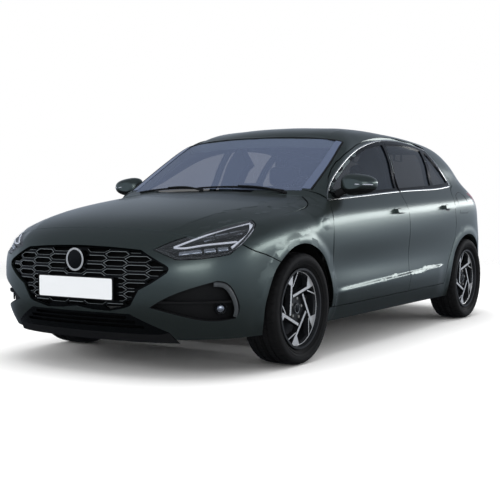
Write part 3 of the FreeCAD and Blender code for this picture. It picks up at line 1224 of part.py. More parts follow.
def exhaust():
    """A pipe from the engine along the floor to the silencer and tail pipe."""
    low = size("floor_height") - size("floor_thickness") - size("pipe_radius") * 1.3
    pipe = tube([V(0, FRONT_AXLE + HUB * 0.75, low), V(0, along(0.73), low), V(HALF * 0.2, along(0.93), HUB * 0.55),
                 V(HALF * 0.3, along(1.55), HUB * 0.85)], size("pipe_radius"))
    box = Part.makeCylinder(size("pipe_radius") * 3, HALF * 0.6, V(HALF * 0.02, along(1.55), HUB * 0.85), LEFT)
    tail = tube([V(HALF * 0.5, along(1.55), HUB * 0.85), V(HALF * 0.5, along(1.78), HUB * 0.80)], size("pipe_radius"))
    return pipe.fuse([box, tail])


# The sub-parts

def bound(kind, label, centre, **expressions):
    """A primitive whose sizes and place follow the sheet."""
    piece = doc.addObject(kind, label)
    piece.Label = label
    for name, expression in expressions.items():
        piece.setExpression(name, expression)
    for axis, expression in zip("xyz", centre):
        piece.setExpression(f"Placement.Base.{axis}", expression)
    return piece


bound("Part::Box", "engine", ("-Sizes.engine_length / 2", "-Sizes.wheelbase / 2 - Sizes.engine_ahead",
                              "Sizes.engine_foot"),
      Length="Sizes.engine_length", Width="Sizes.engine_width", Height="Sizes.engine_height")
bound("Part::Box", "fuel_tank", ("-Sizes.tank_length / 2", "Sizes.tank_back", "Sizes.tank_foot"),
      Length="Sizes.tank_length", Width="Sizes.tank_width", Height="Sizes.tank_height")

for name, make in {
        "bonnet": bonnet, "roof_panel": roof, "windscreen": windscreen, "scuttle": scuttle,
        "front_bumper": front_bumper, "rear_bumper": rear_bumper, "tailgate": tailgate,
        "tailgate_glass": tailgate_glass, "grille": grille, "lower_grille": lower_grille,
        "front_subframe": front_subframe, "rear_axle": rear_axle, "floor_pan": floor_pan,
        "arch_liners": arch_liners, "inner_structure": inner_structure, "exhaust": exhaust,
        "dashboard": dashboard, "rear_bench": rear_bench, "steering_wheel": steering_wheel}.items():
    keep(name, make())

for name, make in {
        "front_wings": wing, "headlamps": lamp_body, "headlamp_lenses": lamp_lens, "fog_pockets": fog_pocket,
        "tail_lamps": outer_lamp, "tailgate_lamps": inner_lamp, "front_seats": lambda: seat(HALF * 0.40, along(0.455), HALF * 0.56)}.items():
    keep(name, both_sides(make()))

front_door_glasses = [FRONT_GLASS_SHARES]
rear_door_glasses = [REAR_GLASS_SHARES, QUARTER_GLASS_SHARES]
for name, make in {
        "body_side": body_side,
        "door_front": lambda: door(front_door_line, front_door_glasses, FRONT_HINGE, 0.12, 0.62, 0.655),
        "door_rear": lambda: door(rear_door_line, rear_door_glasses, REAR_HINGE, 0.54, 0.98, 0.665),
        "door_glass_front": lambda: door_glass(front_door_glasses, 0.12, 0.62),
        "door_glass_rear": lambda: door_glass(rear_door_glasses, 0.54, 0.98),
        "handle_front": lambda: handle(along(0.506), up(0.592)),
        "handle_rear": lambda: handle(along(0.830), up(0.609)),
        "mirror": mirror, "knuckle": lambda: knuckle(wheel_place(True)),
        "tyre_front": lambda: tyre(wheel_place(True)), "tyre_rear": lambda: tyre(wheel_place(False)),
        "wheel_front": lambda: wheel(wheel_place(True)), "wheel_rear": lambda: wheel(wheel_place(False))}.items():
    left = make()
    keep(f"{name}_left", left)
    keep(f"{name}_right", other_side(left))

doc.recompute()
os.makedirs("parts", exist_ok=True)
for piece in doc.Objects:
    if {"Invalid", "Error"} & set(piece.State):
        raise RuntimeError(f"{piece.Label} did not build")
    if not hasattr(piece, "Shape"):
        continue
    if piece.Shape.isNull() or not piece.Shape.isValid():
        raise RuntimeError(f"{piece.Label} has no valid shape")
    piece.Shape.exportStep(f"parts/{piece.Label}.step")
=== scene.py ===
# Five-door hatchback car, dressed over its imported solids.
# Lengths in the tables are millimetres; Blender gets metres.
import json
import math
import bpy
import bmesh
import numpy as np
from mathutils import Vector, Matrix
from mathutils.geometry import delaunay_2d_cdt


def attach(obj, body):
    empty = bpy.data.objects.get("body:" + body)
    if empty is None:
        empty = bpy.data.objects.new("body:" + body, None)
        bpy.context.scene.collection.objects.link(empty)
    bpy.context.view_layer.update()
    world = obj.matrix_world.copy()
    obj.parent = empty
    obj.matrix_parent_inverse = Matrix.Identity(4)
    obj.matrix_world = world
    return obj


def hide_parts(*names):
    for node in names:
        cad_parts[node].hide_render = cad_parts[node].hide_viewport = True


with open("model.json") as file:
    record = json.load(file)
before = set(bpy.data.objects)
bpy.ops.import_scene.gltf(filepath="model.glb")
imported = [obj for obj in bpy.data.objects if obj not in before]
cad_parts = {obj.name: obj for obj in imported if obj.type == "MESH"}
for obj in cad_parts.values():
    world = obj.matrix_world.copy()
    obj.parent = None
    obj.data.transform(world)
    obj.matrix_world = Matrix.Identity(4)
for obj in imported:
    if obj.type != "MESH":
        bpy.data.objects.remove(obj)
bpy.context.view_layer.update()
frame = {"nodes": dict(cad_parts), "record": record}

nodes = frame["nodes"]
scene = bpy.context.scene
print("frame loaded:", len(nodes), "nodes")


# Colours and materials: small helpers
def hexColour(code, alpha=1.0):
    values = [int(code[i:i + 2], 16) / 255 for i in (0, 2, 4)]
    linear = [v / 12.92 if v <= 0.04045 else ((v + 0.055) / 1.055) ** 2.4 for v in values]
    return (*linear, alpha)


def addNode(tree, kind, settings=None, **links):
    node = tree.nodes.new(kind)
    for key, value in (settings or {}).items():
        if hasattr(node, key):
            setattr(node, key, value)
        else:
            node.inputs[key].default_value = value
    for key, source in links.items():
        numbered = key[0] == "i" and key[1:].isdigit()
        socket = node.inputs[int(key[1:]) if numbered else key.replace("_", " ")]
        tree.links.new(source, socket)
    return node


def newMaterial(name, **surface):
    material = bpy.data.materials.new(name)
    material.use_nodes = True
    shader = material.node_tree.nodes["Principled BSDF"]
    for key, value in surface.items():
        socket = shader.inputs[key.replace("_", " ")]
        socket.default_value = hexColour(value) if isinstance(value, str) else value
    return material, material.node_tree, shader


def addBump(tree, shader, height, strength, distance):
    bump = addNode(tree, "ShaderNodeBump", {"Strength": strength, "Distance": distance}, Height=height)
    tree.links.new(bump.outputs["Normal"], shader.inputs["Normal"])
    return bump


def objectPoint(tree):
    return addNode(tree, "ShaderNodeTexCoord").outputs["Object"]


# Materials
finishes = {
    "paint": "5c6562", "flakeMm": 0.6, "chrome": "c9cac8", "blackGloss": "050607", "grain": "0d0e0f",
    "machined": "c4c6c8", "darkAlloy": "1e2023", "cloth": "1b1d20",
}


def carPaint():
    # two-coat metallic enamel, sprayed: aluminium flake under clear lacquer, deep green-grey with a soft sparkle
    material, tree, shader = newMaterial(
        "metallic paint, sprayed and lacquered", Metallic=0.95, Roughness=0.3, Coat_Weight=0.15,
        Coat_Roughness=0.05,
        Coat_IOR=1.45)
    point = objectPoint(tree)
    # real flakes are 0.03 mm; drawn at 0.6 mm so that they show as sparkle
    flakes = addNode(tree, "ShaderNodeTexVoronoi", {"Scale": 1000 / finishes["flakeMm"]}, Vector=point)
    tint = addNode(tree, "ShaderNodeMapRange",
                   {"From Min": 0.0, "From Max": 1.0, "To Min": 0.86, "To Max": 1.16},
                   i0=flakes.outputs["Color"])
    base = addNode(tree, "ShaderNodeMix", {"data_type": "RGBA", "blend_type": "MULTIPLY"})
    base.inputs["Factor"].default_value = 1.0
    base.inputs["A"].default_value = hexColour(finishes["paint"])
    tree.links.new(tint.outputs["Result"], base.inputs["B"])
    tree.links.new(base.outputs["Result"], shader.inputs["Base Color"])
    return material


def blackGloss():
    # ABS, injection moulded and lacquered piano black: mirror-like over a black body
    material, tree, shader = newMaterial("gloss black moulded plastic", Base_Color=finishes["blackGloss"],
                                         Roughness=0.16,
                                         Specular_IOR_Level=0.13)
    point = objectPoint(tree)
    haze = addNode(tree, "ShaderNodeTexNoise", {"Scale": 90.0, "Detail": 3.0}, Vector=point)
    rough = addNode(tree, "ShaderNodeMapRange", {"To Min": 0.12, "To Max": 0.22}, i0=haze.outputs["Fac"])
    tree.links.new(rough.outputs["Result"], shader.inputs["Roughness"])
    return material


def grainedPlastic(name="black polypropylene, grained in the mould", colour=None, roughness=0.62,
                   grainMm=1.2):
    # polypropylene with a fine leather grain: dull black that goes grey at a low angle
    material, tree, shader = newMaterial(name, Base_Color=colour or finishes["grain"], Roughness=roughness,
                                         Specular_IOR_Level=0.25)
    point = objectPoint(tree)
    grain = addNode(tree, "ShaderNodeTexVoronoi", {"Scale": 1000 / grainMm}, Vector=point)
    cloud = addNode(tree, "ShaderNodeTexNoise", {"Scale": 14.0, "Detail": 4.0}, Vector=point)
    rough = addNode(tree, "ShaderNodeMapRange", {"To Min": roughness - 0.08, "To Max": roughness + 0.1},
                    i0=cloud.outputs["Fac"])
    tree.links.new(rough.outputs["Result"], shader.inputs["Roughness"])
    addBump(tree, shader, grain.outputs["Distance"], 0.35, 0.0002)
    return material


def satinChrome():
    # chrome-plated ABS, satin: bright line with soft reflections
    material, tree, shader = newMaterial("satin chromed trim", Base_Color=finishes["chrome"], Metallic=1.0,
                                         Roughness=0.2)
    point = objectPoint(tree)
    brushed = addNode(tree, "ShaderNodeTexNoise", {"Scale": 220.0, "Detail": 2.0}, Vector=point)
    rough = addNode(tree, "ShaderNodeMapRange", {"To Min": 0.16, "To Max": 0.26}, i0=brushed.outputs["Fac"])
    tree.links.new(rough.outputs["Result"], shader.inputs["Roughness"])
    return material


def darkGlass(name="tinted laminated glass", colour="11181a", alpha=0.74, roughness=0.015):
    # float glass with a green-blue body tint: dark from outside, with the cabin just showing
    material, tree, shader = newMaterial(name, Base_Color=colour, Roughness=roughness, Specular_IOR_Level=0.4,
                                         Alpha=alpha)
    point = objectPoint(tree)
    ripple = addNode(tree, "ShaderNodeTexNoise", {"Scale": 2.2, "Detail": 1.0}, Vector=point)
    addBump(tree, shader, ripple.outputs["Fac"], 0.02, 0.002)
    return material


def clearPlastic(name, colour, alpha, roughness=0.03):
    # polycarbonate, moulded and hard-coated: clear, with a bright rim where it curves
    material, tree, shader = newMaterial(name, Base_Color=colour, Roughness=roughness, IOR=1.58, Alpha=alpha)
    point = objectPoint(tree)
    haze = addNode(tree, "ShaderNodeTexNoise", {"Scale": 30.0}, Vector=point)
    rough = addNode(tree, "ShaderNodeMapRange", {"To Min": roughness, "To Max": roughness + 0.04},
                    i0=haze.outputs["Fac"])
    tree.links.new(rough.outputs["Result"], shader.inputs["Roughness"])
    return material


def tyreRubber():
    # filled natural rubber, cured in a polished mould: near-black, slightly dusty on the shoulder
    material, tree, shader = newMaterial("cured tyre rubber", Roughness=0.7, Specular_IOR_Level=0.2)
    point = objectPoint(tree)
    dust = addNode(tree, "ShaderNodeTexNoise", {"Scale": 18.0, "Detail": 6.0}, Vector=point)
    mix = addNode(tree, "ShaderNodeMix", {"data_type": "RGBA"}, Factor=dust.outputs["Fac"])
    mix.inputs["A"].default_value = hexColour("0a0a0b")
    mix.inputs["B"].default_value = hexColour("141415")
    tree.links.new(mix.outputs["Result"], shader.inputs["Base Color"])
    fine = addNode(tree, "ShaderNodeTexNoise", {"Scale": 700.0, "Detail": 2.0}, Vector=point)
    addBump(tree, shader, fine.outputs["Fac"], 0.25, 0.0004)
    return material


def machinedAlloy():
    # cast aluminium wheel face, diamond-turned: fine circular lines under clear lacquer
    material, tree, shader = newMaterial("diamond-turned aluminium, lacquered",
                                         Base_Color=finishes["machined"], Metallic=0.65,
                                         Roughness=0.36, Coat_Weight=0.4, Coat_Roughness=0.08)
    point = objectPoint(tree)
    lines = addNode(tree, "ShaderNodeTexNoise", {"Scale": 420.0, "Detail": 2.0}, Vector=point)
    rough = addNode(tree, "ShaderNodeMapRange", {"To Min": 0.3, "To Max": 0.44}, i0=lines.outputs["Fac"])
    tree.links.new(rough.outputs["Result"], shader.inputs["Roughness"])
    return material


def darkAlloy():
    # cast aluminium, powder-coated dark grey: satin with an orange-peel skin
    material, tree, shader = newMaterial("dark powder-coated aluminium", Base_Color=finishes["darkAlloy"],
                                         Metallic=0.2,
                                         Roughness=0.42, Specular_IOR_Level=0.3)
    point = objectPoint(tree)
    peel = addNode(tree, "ShaderNodeTexNoise", {"Scale": 500.0, "Detail": 1.0}, Vector=point)
    addBump(tree, shader, peel.outputs["Fac"], 0.08, 0.0003)
    return material


def castMetal(name, colour, metallic, roughness):
    # sand-cast or pressed metal left in its mill or e-coat finish: dull with a pebbled surface
    material, tree, shader = newMaterial(name, Base_Color=colour, Metallic=metallic, Roughness=roughness)
    point = objectPoint(tree)
    pebble = addNode(tree, "ShaderNodeTexNoise", {"Scale": 260.0, "Detail": 5.0}, Vector=point)
    addBump(tree, shader, pebble.outputs["Fac"], 0.3, 0.0006)
    return material


def wovenCloth():
    # polyester seat cloth, woven at 1.5 mm so that the threads show: dark grey with a soft sheen
    material, tree, shader = newMaterial("woven polyester seat cloth", Base_Color=finishes["cloth"],
                                         Roughness=0.92,
                                         Sheen_Weight=0.3, Sheen_Roughness=0.5)
    point = objectPoint(tree)
    threads = [addNode(tree, "ShaderNodeTexWave",
                       {"Scale": 1000 / 1.5 / 6.28, "bands_direction": way, "wave_type": "BANDS"},
                       Vector=point) for way in ("X", "Z")]
    weave = addNode(tree, "ShaderNodeMath", {"operation": "MULTIPLY"}, i0=threads[0].outputs["Fac"],
                    i1=threads[1].outputs["Fac"])
    addBump(tree, shader, weave.outputs["Value"], 0.5, 0.0008)
    return material


def enamel(name, colour, roughness, metallic=0.0):
    # a smooth coat with a slight unevenness, so that its shine isn't dead flat
    material, tree, shader = newMaterial(name, Base_Color=colour, Roughness=roughness, Metallic=metallic)
    wave = addNode(tree, "ShaderNodeTexNoise", {"Scale": 40.0, "Detail": 2.0}, Vector=objectPoint(tree))
    rough = addNode(tree, "ShaderNodeMapRange", {"To Min": roughness * 0.8, "To Max": roughness * 1.25},
                    i0=wave.outputs["Fac"])
    tree.links.new(rough.outputs["Result"], shader.inputs["Roughness"])
    return material


def softTrim(name, colour):
    # slush-moulded vinyl skin over foam: matt, with a pebble grain of about 2 mm
    return grainedPlastic(name, colour, 0.7, 2.0)


mats = {
    "paint": carPaint(), "gloss": blackGloss(), "plastic": grainedPlastic(), "chrome": satinChrome(),
    "glass": darkGlass("tinted laminated glass", "10151c", 0.86),
    # the windscreen's light blue-grey is partly the glass's tint and partly a painted reflection of the bright
    # sky; its border's blue-grey is a painted sky reflection over the black frit
    "screen": darkGlass("laminated windscreen glass", "5f6a82", 0.5),
    "screenBorder": darkGlass("windscreen's fired ceramic border", "4b5468", 1.0),
    "clear": clearPlastic("clear polycarbonate lamp cover", "aab2bc", 0.05),
    "red": clearPlastic("red polycarbonate lamp cover", "7a0a10", 0.93, 0.06),
    "tyre": tyreRubber(), "machined": machinedAlloy(), "darkAlloy": darkAlloy(),
    "black": castMetal("pressed steel, dipped in black primer", "141516", 0.1, 0.6),
    "aluminium": castMetal("sand-cast aluminium", "8b8b88", 0.8, 0.5),
    "pipe": castMetal("drawn stainless pipe", "77736c", 0.9, 0.4),
    "cloth": wovenCloth(), "trim": softTrim("slush-moulded cabin skin", "1a1b1d"),
    "white": enamel("pressed aluminium plate, white enamel", "d3d6d9", 0.4),
    "satin": enamel("satin plated ring", "b4b7ba", 0.42, 0.6),
    # grey for the grille cells' edge strips: a painted highlight, the glint on the gloss mesh
    "cellHighlight": enamel("satin grey edge of moulded mesh", "5d6366", 0.34),
    "lampWhite": enamel("frosted light guide, moulded", "a3a8b4", 0.25),
    "reflector": enamel("vapour-plated reflector, moulded", "8d939d", 0.2, 0.85),
    "mirrorGlass": enamel("silvered mirror glass", "8f979b", 0.03, 1.0),
    "seam": enamel("shut line, unlit gap", "0b0d0d", 0.8),
    "lip": grainedPlastic("dark grey polypropylene lip, grained", "101113", 0.5),
    # near-black matt: painted shade, for sheets set where only shade shows and for hidden black parts darkened
    # into shade
    "shade": grainedPlastic("unlit black, painted shade in hollows and gaps", "040404", 0.9, 3.0),
    "lampBlack": enamel("lamp bezel, moulded black", "0a0b0d", 0.3),
    "pocketTrim": enamel("satin grey moulded trim", "34383b", 0.4),
    # darker paint for the handle bowls: painted shade in the hollow
    "handleShade": enamel("painted shade in the bowl behind the handle", "161d1b", 0.4),
}
slotMaterials = {
    "body_paint": "paint", "dark_glass": "glass", "black_plastic": "plastic", "clear_lens": "clear",
    "lamp_inside": "lampBlack",
    "red_lens": "red", "tyre_rubber": "tyre", "wheel_alloy": "darkAlloy", "cast_steel": "black",
    "under_paint": "black",
    "steel_pipe": "pipe", "cast_alloy": "aluminium", "soft_trim": "trim", "seat_cloth": "cloth",
    "grained_rim": "trim",
}
# arch liners, inner structure and floor pan take the unlit black: their own black deepened into painted shade
ownFinish = {"grille": "gloss", "lower_grille": "gloss", "arch_liners": "shade", "inner_structure": "shade",
             "floor_pan": "shade"}
for entry in frame["record"]["subparts"]:
    obj = nodes[entry["node"]]
    obj.data.materials.clear()
    finish = ownFinish.get(entry["node"], slotMaterials[entry["material_slot"]])
    obj.data.materials.append(mats[finish])
print("materials made:", len(mats))


# The body's form, the same as in the part's source
bodySizes = {"front": 905.0, "base": 2650.0, "rear": 785.0, "half": 897.5, "tall": 1455.0, "hub": 317.0}
half, tall, hub = bodySizes["half"], bodySizes["tall"], bodySizes["hub"]
frontAxle = bodySizes["front"] - (bodySizes["front"] + bodySizes["base"] + bodySizes["rear"]) / 2
rearAxle = frontAxle + bodySizes["base"]


def along(share):  # -1 nose, 0 front axle, 1 rear axle, 2 tail
    if share < 0:
        return frontAxle + share * bodySizes["front"]
    return frontAxle + share * bodySizes["base"] if share <= 1 else rearAxle + (share - 1) * bodySizes["rear"]


def naturalSpline(xs):
    xs = np.array(xs, float)
    n, h = len(xs), np.diff(xs)
    left, right = np.zeros((n, n)), np.zeros((n, n))
    left[0, 0] = left[-1, -1] = 1
    for i in range(1, n - 1):
        left[i, i - 1], left[i, i], left[i, i + 1] = h[i - 1] / 6, (h[i - 1] + h[i]) / 3, h[i] / 6
        right[i, i - 1], right[i, i], right[i, i + 1] = 1 / h[i - 1], -1 / h[i - 1] - 1 / h[i], 1 / h[i]
    return xs, np.linalg.solve(left, right)


def splineWeights(spline, q):
    xs, bend = spline
    q = np.asarray(q, float)
    n, h = len(xs), np.diff(xs)
    i = np.clip(np.searchsorted(xs, q, side="right") - 1, 0, n - 2)
    b = (np.clip(q, xs[0], xs[-1]) - xs[i]) / h[i]
    a = 1 - b
    weights = np.zeros((q.size, n))
    rows = np.arange(q.size)
    weights[rows, i] += a
    weights[rows, i + 1] += b
    weights += ((a**3 - a) * h[i]**2 / 6)[:,
                                          None] * bend[i] + ((b**3 - b) * h[i]**2 / 6)[:, None] * bend[i + 1]
    low, high = q < xs[0], q > xs[-1]
    if low.any():
        slope = np.zeros(n)
        slope[0], slope[1] = -1 / h[0], 1 / h[0]
        weights[low] += (q[low] - xs[0])[:, None] * (slope - h[0] * bend[1] / 6)
    if high.any():
        slope = np.zeros(n)
        slope[-2], slope[-1] = -1 / h[-1], 1 / h[-1]
        weights[high] += (q[high] - xs[-1])[:, None] * (slope + h[-1] * bend[-2] / 6)
    return weights


def curveThrough(points):
    spline, values = naturalSpline([p[0] for p in points]), np.array([p[1] for p in points], float)
    return lambda q: splineWeights(spline, np.asarray(q, float).ravel()) @ values


def ease(t):
    t = np.clip(t, 0, 1)
    return t * t * t * (t * (6 * t - 15) + 10)


def greater(a, b, blend):
    h = np.maximum(0, 1 - np.abs(a - b) / blend)
    return np.maximum(a, b) + blend * h**3 / 6


def lesser(a, b, blend):
    return -greater(-a, -b, blend)


stationShares = [-1, -0.702, -0.37, 0, 0.175, 0.477, 0.779, 1, 1.465, 1.783, 2]
levelShares = [0.103, 0.158, 0.213, 0.275, 0.357, 0.481, 0.564, 0.615, 0.677, 0.79, 0.928, 1.003]
widthShares = np.array([
    [0.640, 0.694, 0.720, 0.735, 0.741, 0.727, 0.699, 0.662, 0.605, 0.537, 0.458, 0.420],
    [0.812, 0.852, 0.876, 0.889, 0.896, 0.888, 0.865, 0.829, 0.761, 0.687, 0.596, 0.548],
    [0.908, 0.936, 0.949, 0.960, 0.967, 0.969, 0.956, 0.927, 0.858, 0.780, 0.680, 0.624],
    [0.923, 0.950, 0.965, 0.976, 0.983, 0.989, 0.983, 0.954, 0.880, 0.808, 0.712, 0.652],
    [0.918, 0.949, 0.967, 0.983, 0.976, 0.991, 0.985, 0.960, 0.886, 0.815, 0.719, 0.659],
    [0.916, 0.947, 0.967, 0.985, 0.974, 0.992, 0.988, 0.965, 0.892, 0.823, 0.727, 0.667],
    [0.916, 0.947, 0.967, 0.982, 0.976, 0.993, 0.992, 0.969, 0.898, 0.827, 0.727, 0.665],
    [0.916, 0.945, 0.965, 0.977, 0.985, 0.994, 0.992, 0.969, 0.891, 0.810, 0.700, 0.638],
    [0.891, 0.919, 0.942, 0.956, 0.967, 0.972, 0.960, 0.934, 0.856, 0.762, 0.635, 0.568],
    [0.825, 0.858, 0.886, 0.905, 0.914, 0.905, 0.886, 0.852, 0.769, 0.671, 0.546, 0.479],
    [0.758, 0.797, 0.830, 0.849, 0.856, 0.841, 0.819, 0.780, 0.691, 0.591, 0.468, 0.401]])
stationSpline = naturalSpline([along(s) for s in stationShares])
levelSpline = naturalSpline([s * tall for s in levelShares])
noseCurve = curveThrough([(z * tall, frontAxle - y * bodySizes["front"]) for z, y in [
    (0.103, 0.878), (0.137, 0.912), (0.179, 0.950), (0.227, 0.980), (0.309, 0.998), (0.385, 1.0),
    (0.447, 0.980), (0.495, 0.943), (0.543, 0.876), (0.584, 0.779), (0.632, 0.635), (0.687, 0.425)]])
tailCurve = curveThrough([(z * tall, rearAxle + y * bodySizes["rear"]) for z, y in [
    (0.103, 0.873), (0.137, 0.904), (0.206, 0.962), (0.309, 0.997), (0.385, 1.0), (0.440, 0.981),
    (0.495, 0.943), (0.619, 0.904), (0.687, 0.862), (0.756, 0.771), (0.825, 0.669), (0.893, 0.569),
    (0.962, 0.471), (1.003, 0.414)]])
bonnetLine = curveThrough([(along(y), z * tall) for y, z in [
    (-1, 0.474), (-0.867, 0.522), (-0.702, 0.565), (-0.481, 0.603), (-0.26, 0.631), (0.006, 0.658),
    (0.092, 0.677), (0.175, 0.689)]])
roofLine = curveThrough([(along(y), z * tall) for y, z in [
    (0.251, 0.914), (0.345, 0.961), (0.421, 0.984), (0.515, 0.998), (0.628, 1.0), (0.779, 0.9925),
    (0.93, 0.974), (1.146, 0.952), (1.529, 0.921), (1.911, 0.883)]])
bonnetFold = curveThrough([(along(y), x * half) for y, x in [
    (-1, 0.52), (-0.70, 0.565), (-0.56, 0.597), (-0.235, 0.666), (0.008, 0.722), (0.126, 0.742)]])
arches = ((frontAxle, hub + 51), (rearAxle, hub + 38))


def sideWidth(y, z):
    rise = ease((z - 0.227 * tall) / (0.309 * tall)) * (1 - ease((z - 0.7285 * tall) / (0.206 * tall)))
    level = z - 0.04 * y * rise
    x = half * np.einsum("ni,nj,ij->n", splineWeights(stationSpline, y), splineWeights(levelSpline, level),
                         widthShares)
    for axle, radius in arches:
        r = np.hypot(y - axle, z - hub)
        band = 0.0584 * tall
        x = x + 0.01 * half * ease((radius + band - r) / band) * ease((z - 0.103 * tall) / (0.103 * tall))
    # the step low on the doors
    middle = 0.269 * tall + (y - along(0.198)) * 0.0385
    high = 0.0145 * tall - 0.0065 * tall * ease((y - along(0.175)) / (bodySizes["base"] * 0.55))
    ends = ease((y - along(0.12)) / (bodySizes["base"]
                                     * 0.10)) * (1 - ease((y - along(0.76)) / (bodySizes["base"] * 0.07)))
    return x + 0.013 * half * ends * (1 - ease((z - middle + high)
                                               / (2 * high))) * ease((z - 0.130 * tall) / (0.10 * tall))


def topHeight(x, y):
    bonnetZ = bonnetLine(y) - 0.0536 * tall * (x / (0.891 * half)) ** 2.4
    bonnetZ = bonnetZ - 0.0085 * tall * ease((x - bonnetFold(y)) / (0.078 * half))
    roofZ = roofLine(y) - 0.0289 * tall * (x / (0.6685 * half)) ** 2.2
    back = y - along(0.0917) - x * x / (3.34 * half)
    screenZ = 0.677 * tall + back * 0.578
    return greater(bonnetZ, lesser(screenZ, roofZ, 0.0756 * tall), 0.0206 * tall)


def formValue(p):  # below zero inside the body; p in millimetres
    x, y, z = np.abs(p[:, 0]), p[:, 1], p[:, 2]
    wide = x - sideWidth(y, z)
    ahead = noseCurve(z) + x * x / (5.79 * half) - y
    behind = y - tailCurve(z) + x * x / (3.34 * half) * (1 + 0.5 * ease((z - 0.55 * tall) / (0.275 * tall)))
    corner = 0.479 * half
    plan = np.where(ahead > wide - half, greater(wide, ahead, corner), wide)
    plan = greater(plan, behind, corner)
    pillar = ease((y - along(0.055)) / (bodySizes["base"] * 0.045)) * (1
        - ease((y - along(0.319)) / (bodySizes["base"] * 0.132)))
    edge = 0.189 * half - 0.111 * half * pillar
    return greater(plan, z - topHeight(x, y), edge)


def formNormal(p, step=1.0):
    gradient = np.zeros_like(p)
    for axis in range(3):
        shift = np.zeros(3)
        shift[axis] = step
        gradient[:, axis] = formValue(p + shift) - formValue(p - shift)
    return gradient / np.maximum(np.linalg.norm(gradient, axis=1), 1e-9)[:, None]


# Skins: the solids' outer faces again, finer and with the form's own normals
def meshArrays(obj):
    mesh = obj.data
    points = np.zeros(len(mesh.vertices) * 3)
    mesh.vertices.foreach_get("co", points)
    mesh.calc_loop_triangles()
    triangles = np.zeros(len(mesh.loop_triangles) * 3, int)
    mesh.loop_triangles.foreach_get("vertices", triangles)
    return points.reshape(-1, 3) * 1000, triangles.reshape(-1, 3)


def newObject(name, points, faces, material, body, normals=None, smooth=True, slotName=None):
    mesh = bpy.data.meshes.new(name)
    mesh.from_pydata([tuple(p) for p in np.asarray(points, float) / 1000], [], [tuple(f) for f in faces])
    mesh.materials.append(material)
    mesh.update()
    mesh.polygons.foreach_set("use_smooth", [smooth] * len(mesh.polygons))
    if normals is not None:
        mesh.normals_split_custom_set_from_vertices([tuple(n) for n in normals])
    obj = bpy.data.objects.new(name, mesh)
    scene.collection.objects.link(obj)
    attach(obj, body)
    return obj


def outerFaces(node, depth=0.0, slack=2.4, upright=0.6):
    points, triangles = meshArrays(nodes[node])
    keys = {}
    merged = np.array([keys.setdefault(tuple(k), i) for i,
                       k in enumerate(np.round(points / 0.02).astype(int))])
    triangles = merged[triangles]
    apart = (triangles[:, 0] != triangles[:, 1]) & (triangles[:,
                                                              1] != triangles[:, 2]) & (triangles[:,
                                                                  0] != triangles[:, 2])
    triangles = triangles[apart]
    corners = points[triangles]
    flat = np.cross(corners[:, 1] - corners[:, 0], corners[:, 2] - corners[:, 0])
    size = np.linalg.norm(flat, axis=1)
    flat /= np.maximum(size, 1e-9)[:, None]
    away = formNormal(corners.mean(1))
    depths = np.abs(formValue(points) + depth)
    keep = (depths[triangles].max(1) < slack) & (((flat * away).sum(1) > upright) | (size < 2))
    return points, triangles[keep]


def finer(points, triangles, longest):
    bm = bmesh.new()
    used = np.unique(triangles)
    vertices = {i: bm.verts.new(points[i]) for i in used}
    for a, b, c in triangles:
        try:
            bm.faces.new((vertices[a], vertices[b], vertices[c]))
        except ValueError:
            pass
    for _ in range(7):
        long = [e for e in bm.edges if e.calc_length() > longest]
        if not long:
            break
        bmesh.ops.subdivide_edges(bm, edges=long, cuts=1)
        bmesh.ops.triangulate(bm, faces=[f for f in bm.faces if len(f.verts) > 3])
    bm.verts.index_update()
    points = np.array([v.co for v in bm.verts])
    faces = [tuple(v.index for v in f.verts) for f in bm.faces]
    edges = [tuple(v.index for v in (loop.vert, loop.link_loop_next.vert)) for e in bm.edges
             if len(e.link_loops) == 1
             for loop in e.link_loops]
    bm.free()
    return points, faces, edges


def skin(name, node, material, body, depth=0.0, lift=0.5, longest=16.0, lip=2.0, replace=False, keepIf=None,
         slotName=None):
    points, triangles = outerFaces(node, depth, slack=8.0 if replace else 2.4)
    if keepIf is not None:
        triangles = triangles[keepIf(points[triangles].mean(1))]
    points, faces, edges = finer(points, triangles, longest)
    normals = formNormal(points)
    points = points + normals * lift
    behindPlate = (points[:, 1] > 0) & (abs(points[:, 0]) < 262) & (abs(points[:, 2] - 0.375 * tall) < 57)
    points[behindPlate, 1] = np.minimum(points[behindPlate, 1], along(2) + 0.9)  # flat under the rear plate
    count = len(points)
    rim = sorted({i for edge in edges for i in edge})
    under = {i: count + k for k, i in enumerate(rim)}
    points = np.vstack([points, points[rim] - normals[rim] * lip])
    normals = np.vstack([normals, normals[rim]])
    faces += [(b, a, under[a], under[b]) for a, b in edges]
    obj = newObject(name, points, faces, material, body, normals, slotName=slotName)
    if replace:
        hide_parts(node)
    return obj


bodyOf = {n: b for b, members in frame["record"]["behaviour"]["bodies"].items() for n in members}
for node in ["bonnet", "roof_panel", "front_wings", "front_bumper", "rear_bumper", "tailgate",
             "body_side_left",
             "body_side_right", "door_front_left", "door_front_right", "door_rear_left", "door_rear_right"]:
    skin(node + "_enamel", node, mats["paint"], bodyOf[node], slotName="body_paint")
print("painted skins made")
for node in ["door_glass_front_left", "door_glass_front_right", "door_glass_rear_left",
             "door_glass_rear_right"]:
    skin(node + "_pane", node, mats["glass"], bodyOf[node], depth=8.0, lift=0.0, replace=True,
         slotName="dark_glass")
skin("windscreen_pane", "windscreen", mats["screen"], bodyOf["windscreen"], lift=0.0, replace=True,
     slotName="dark_glass")
skin("tailgate_pane", "tailgate_glass", mats["glass"], "tailgate", lift=0.0, replace=True,
     slotName="dark_glass")
skin("headlamp_covers", "headlamp_lenses", mats["clear"], bodyOf["headlamp_lenses"], lift=0.0, replace=True,
     slotName="clear_lens")
skin("tail_lamp_covers", "tail_lamps", mats["red"], bodyOf["tail_lamps"], slotName="red_lens")
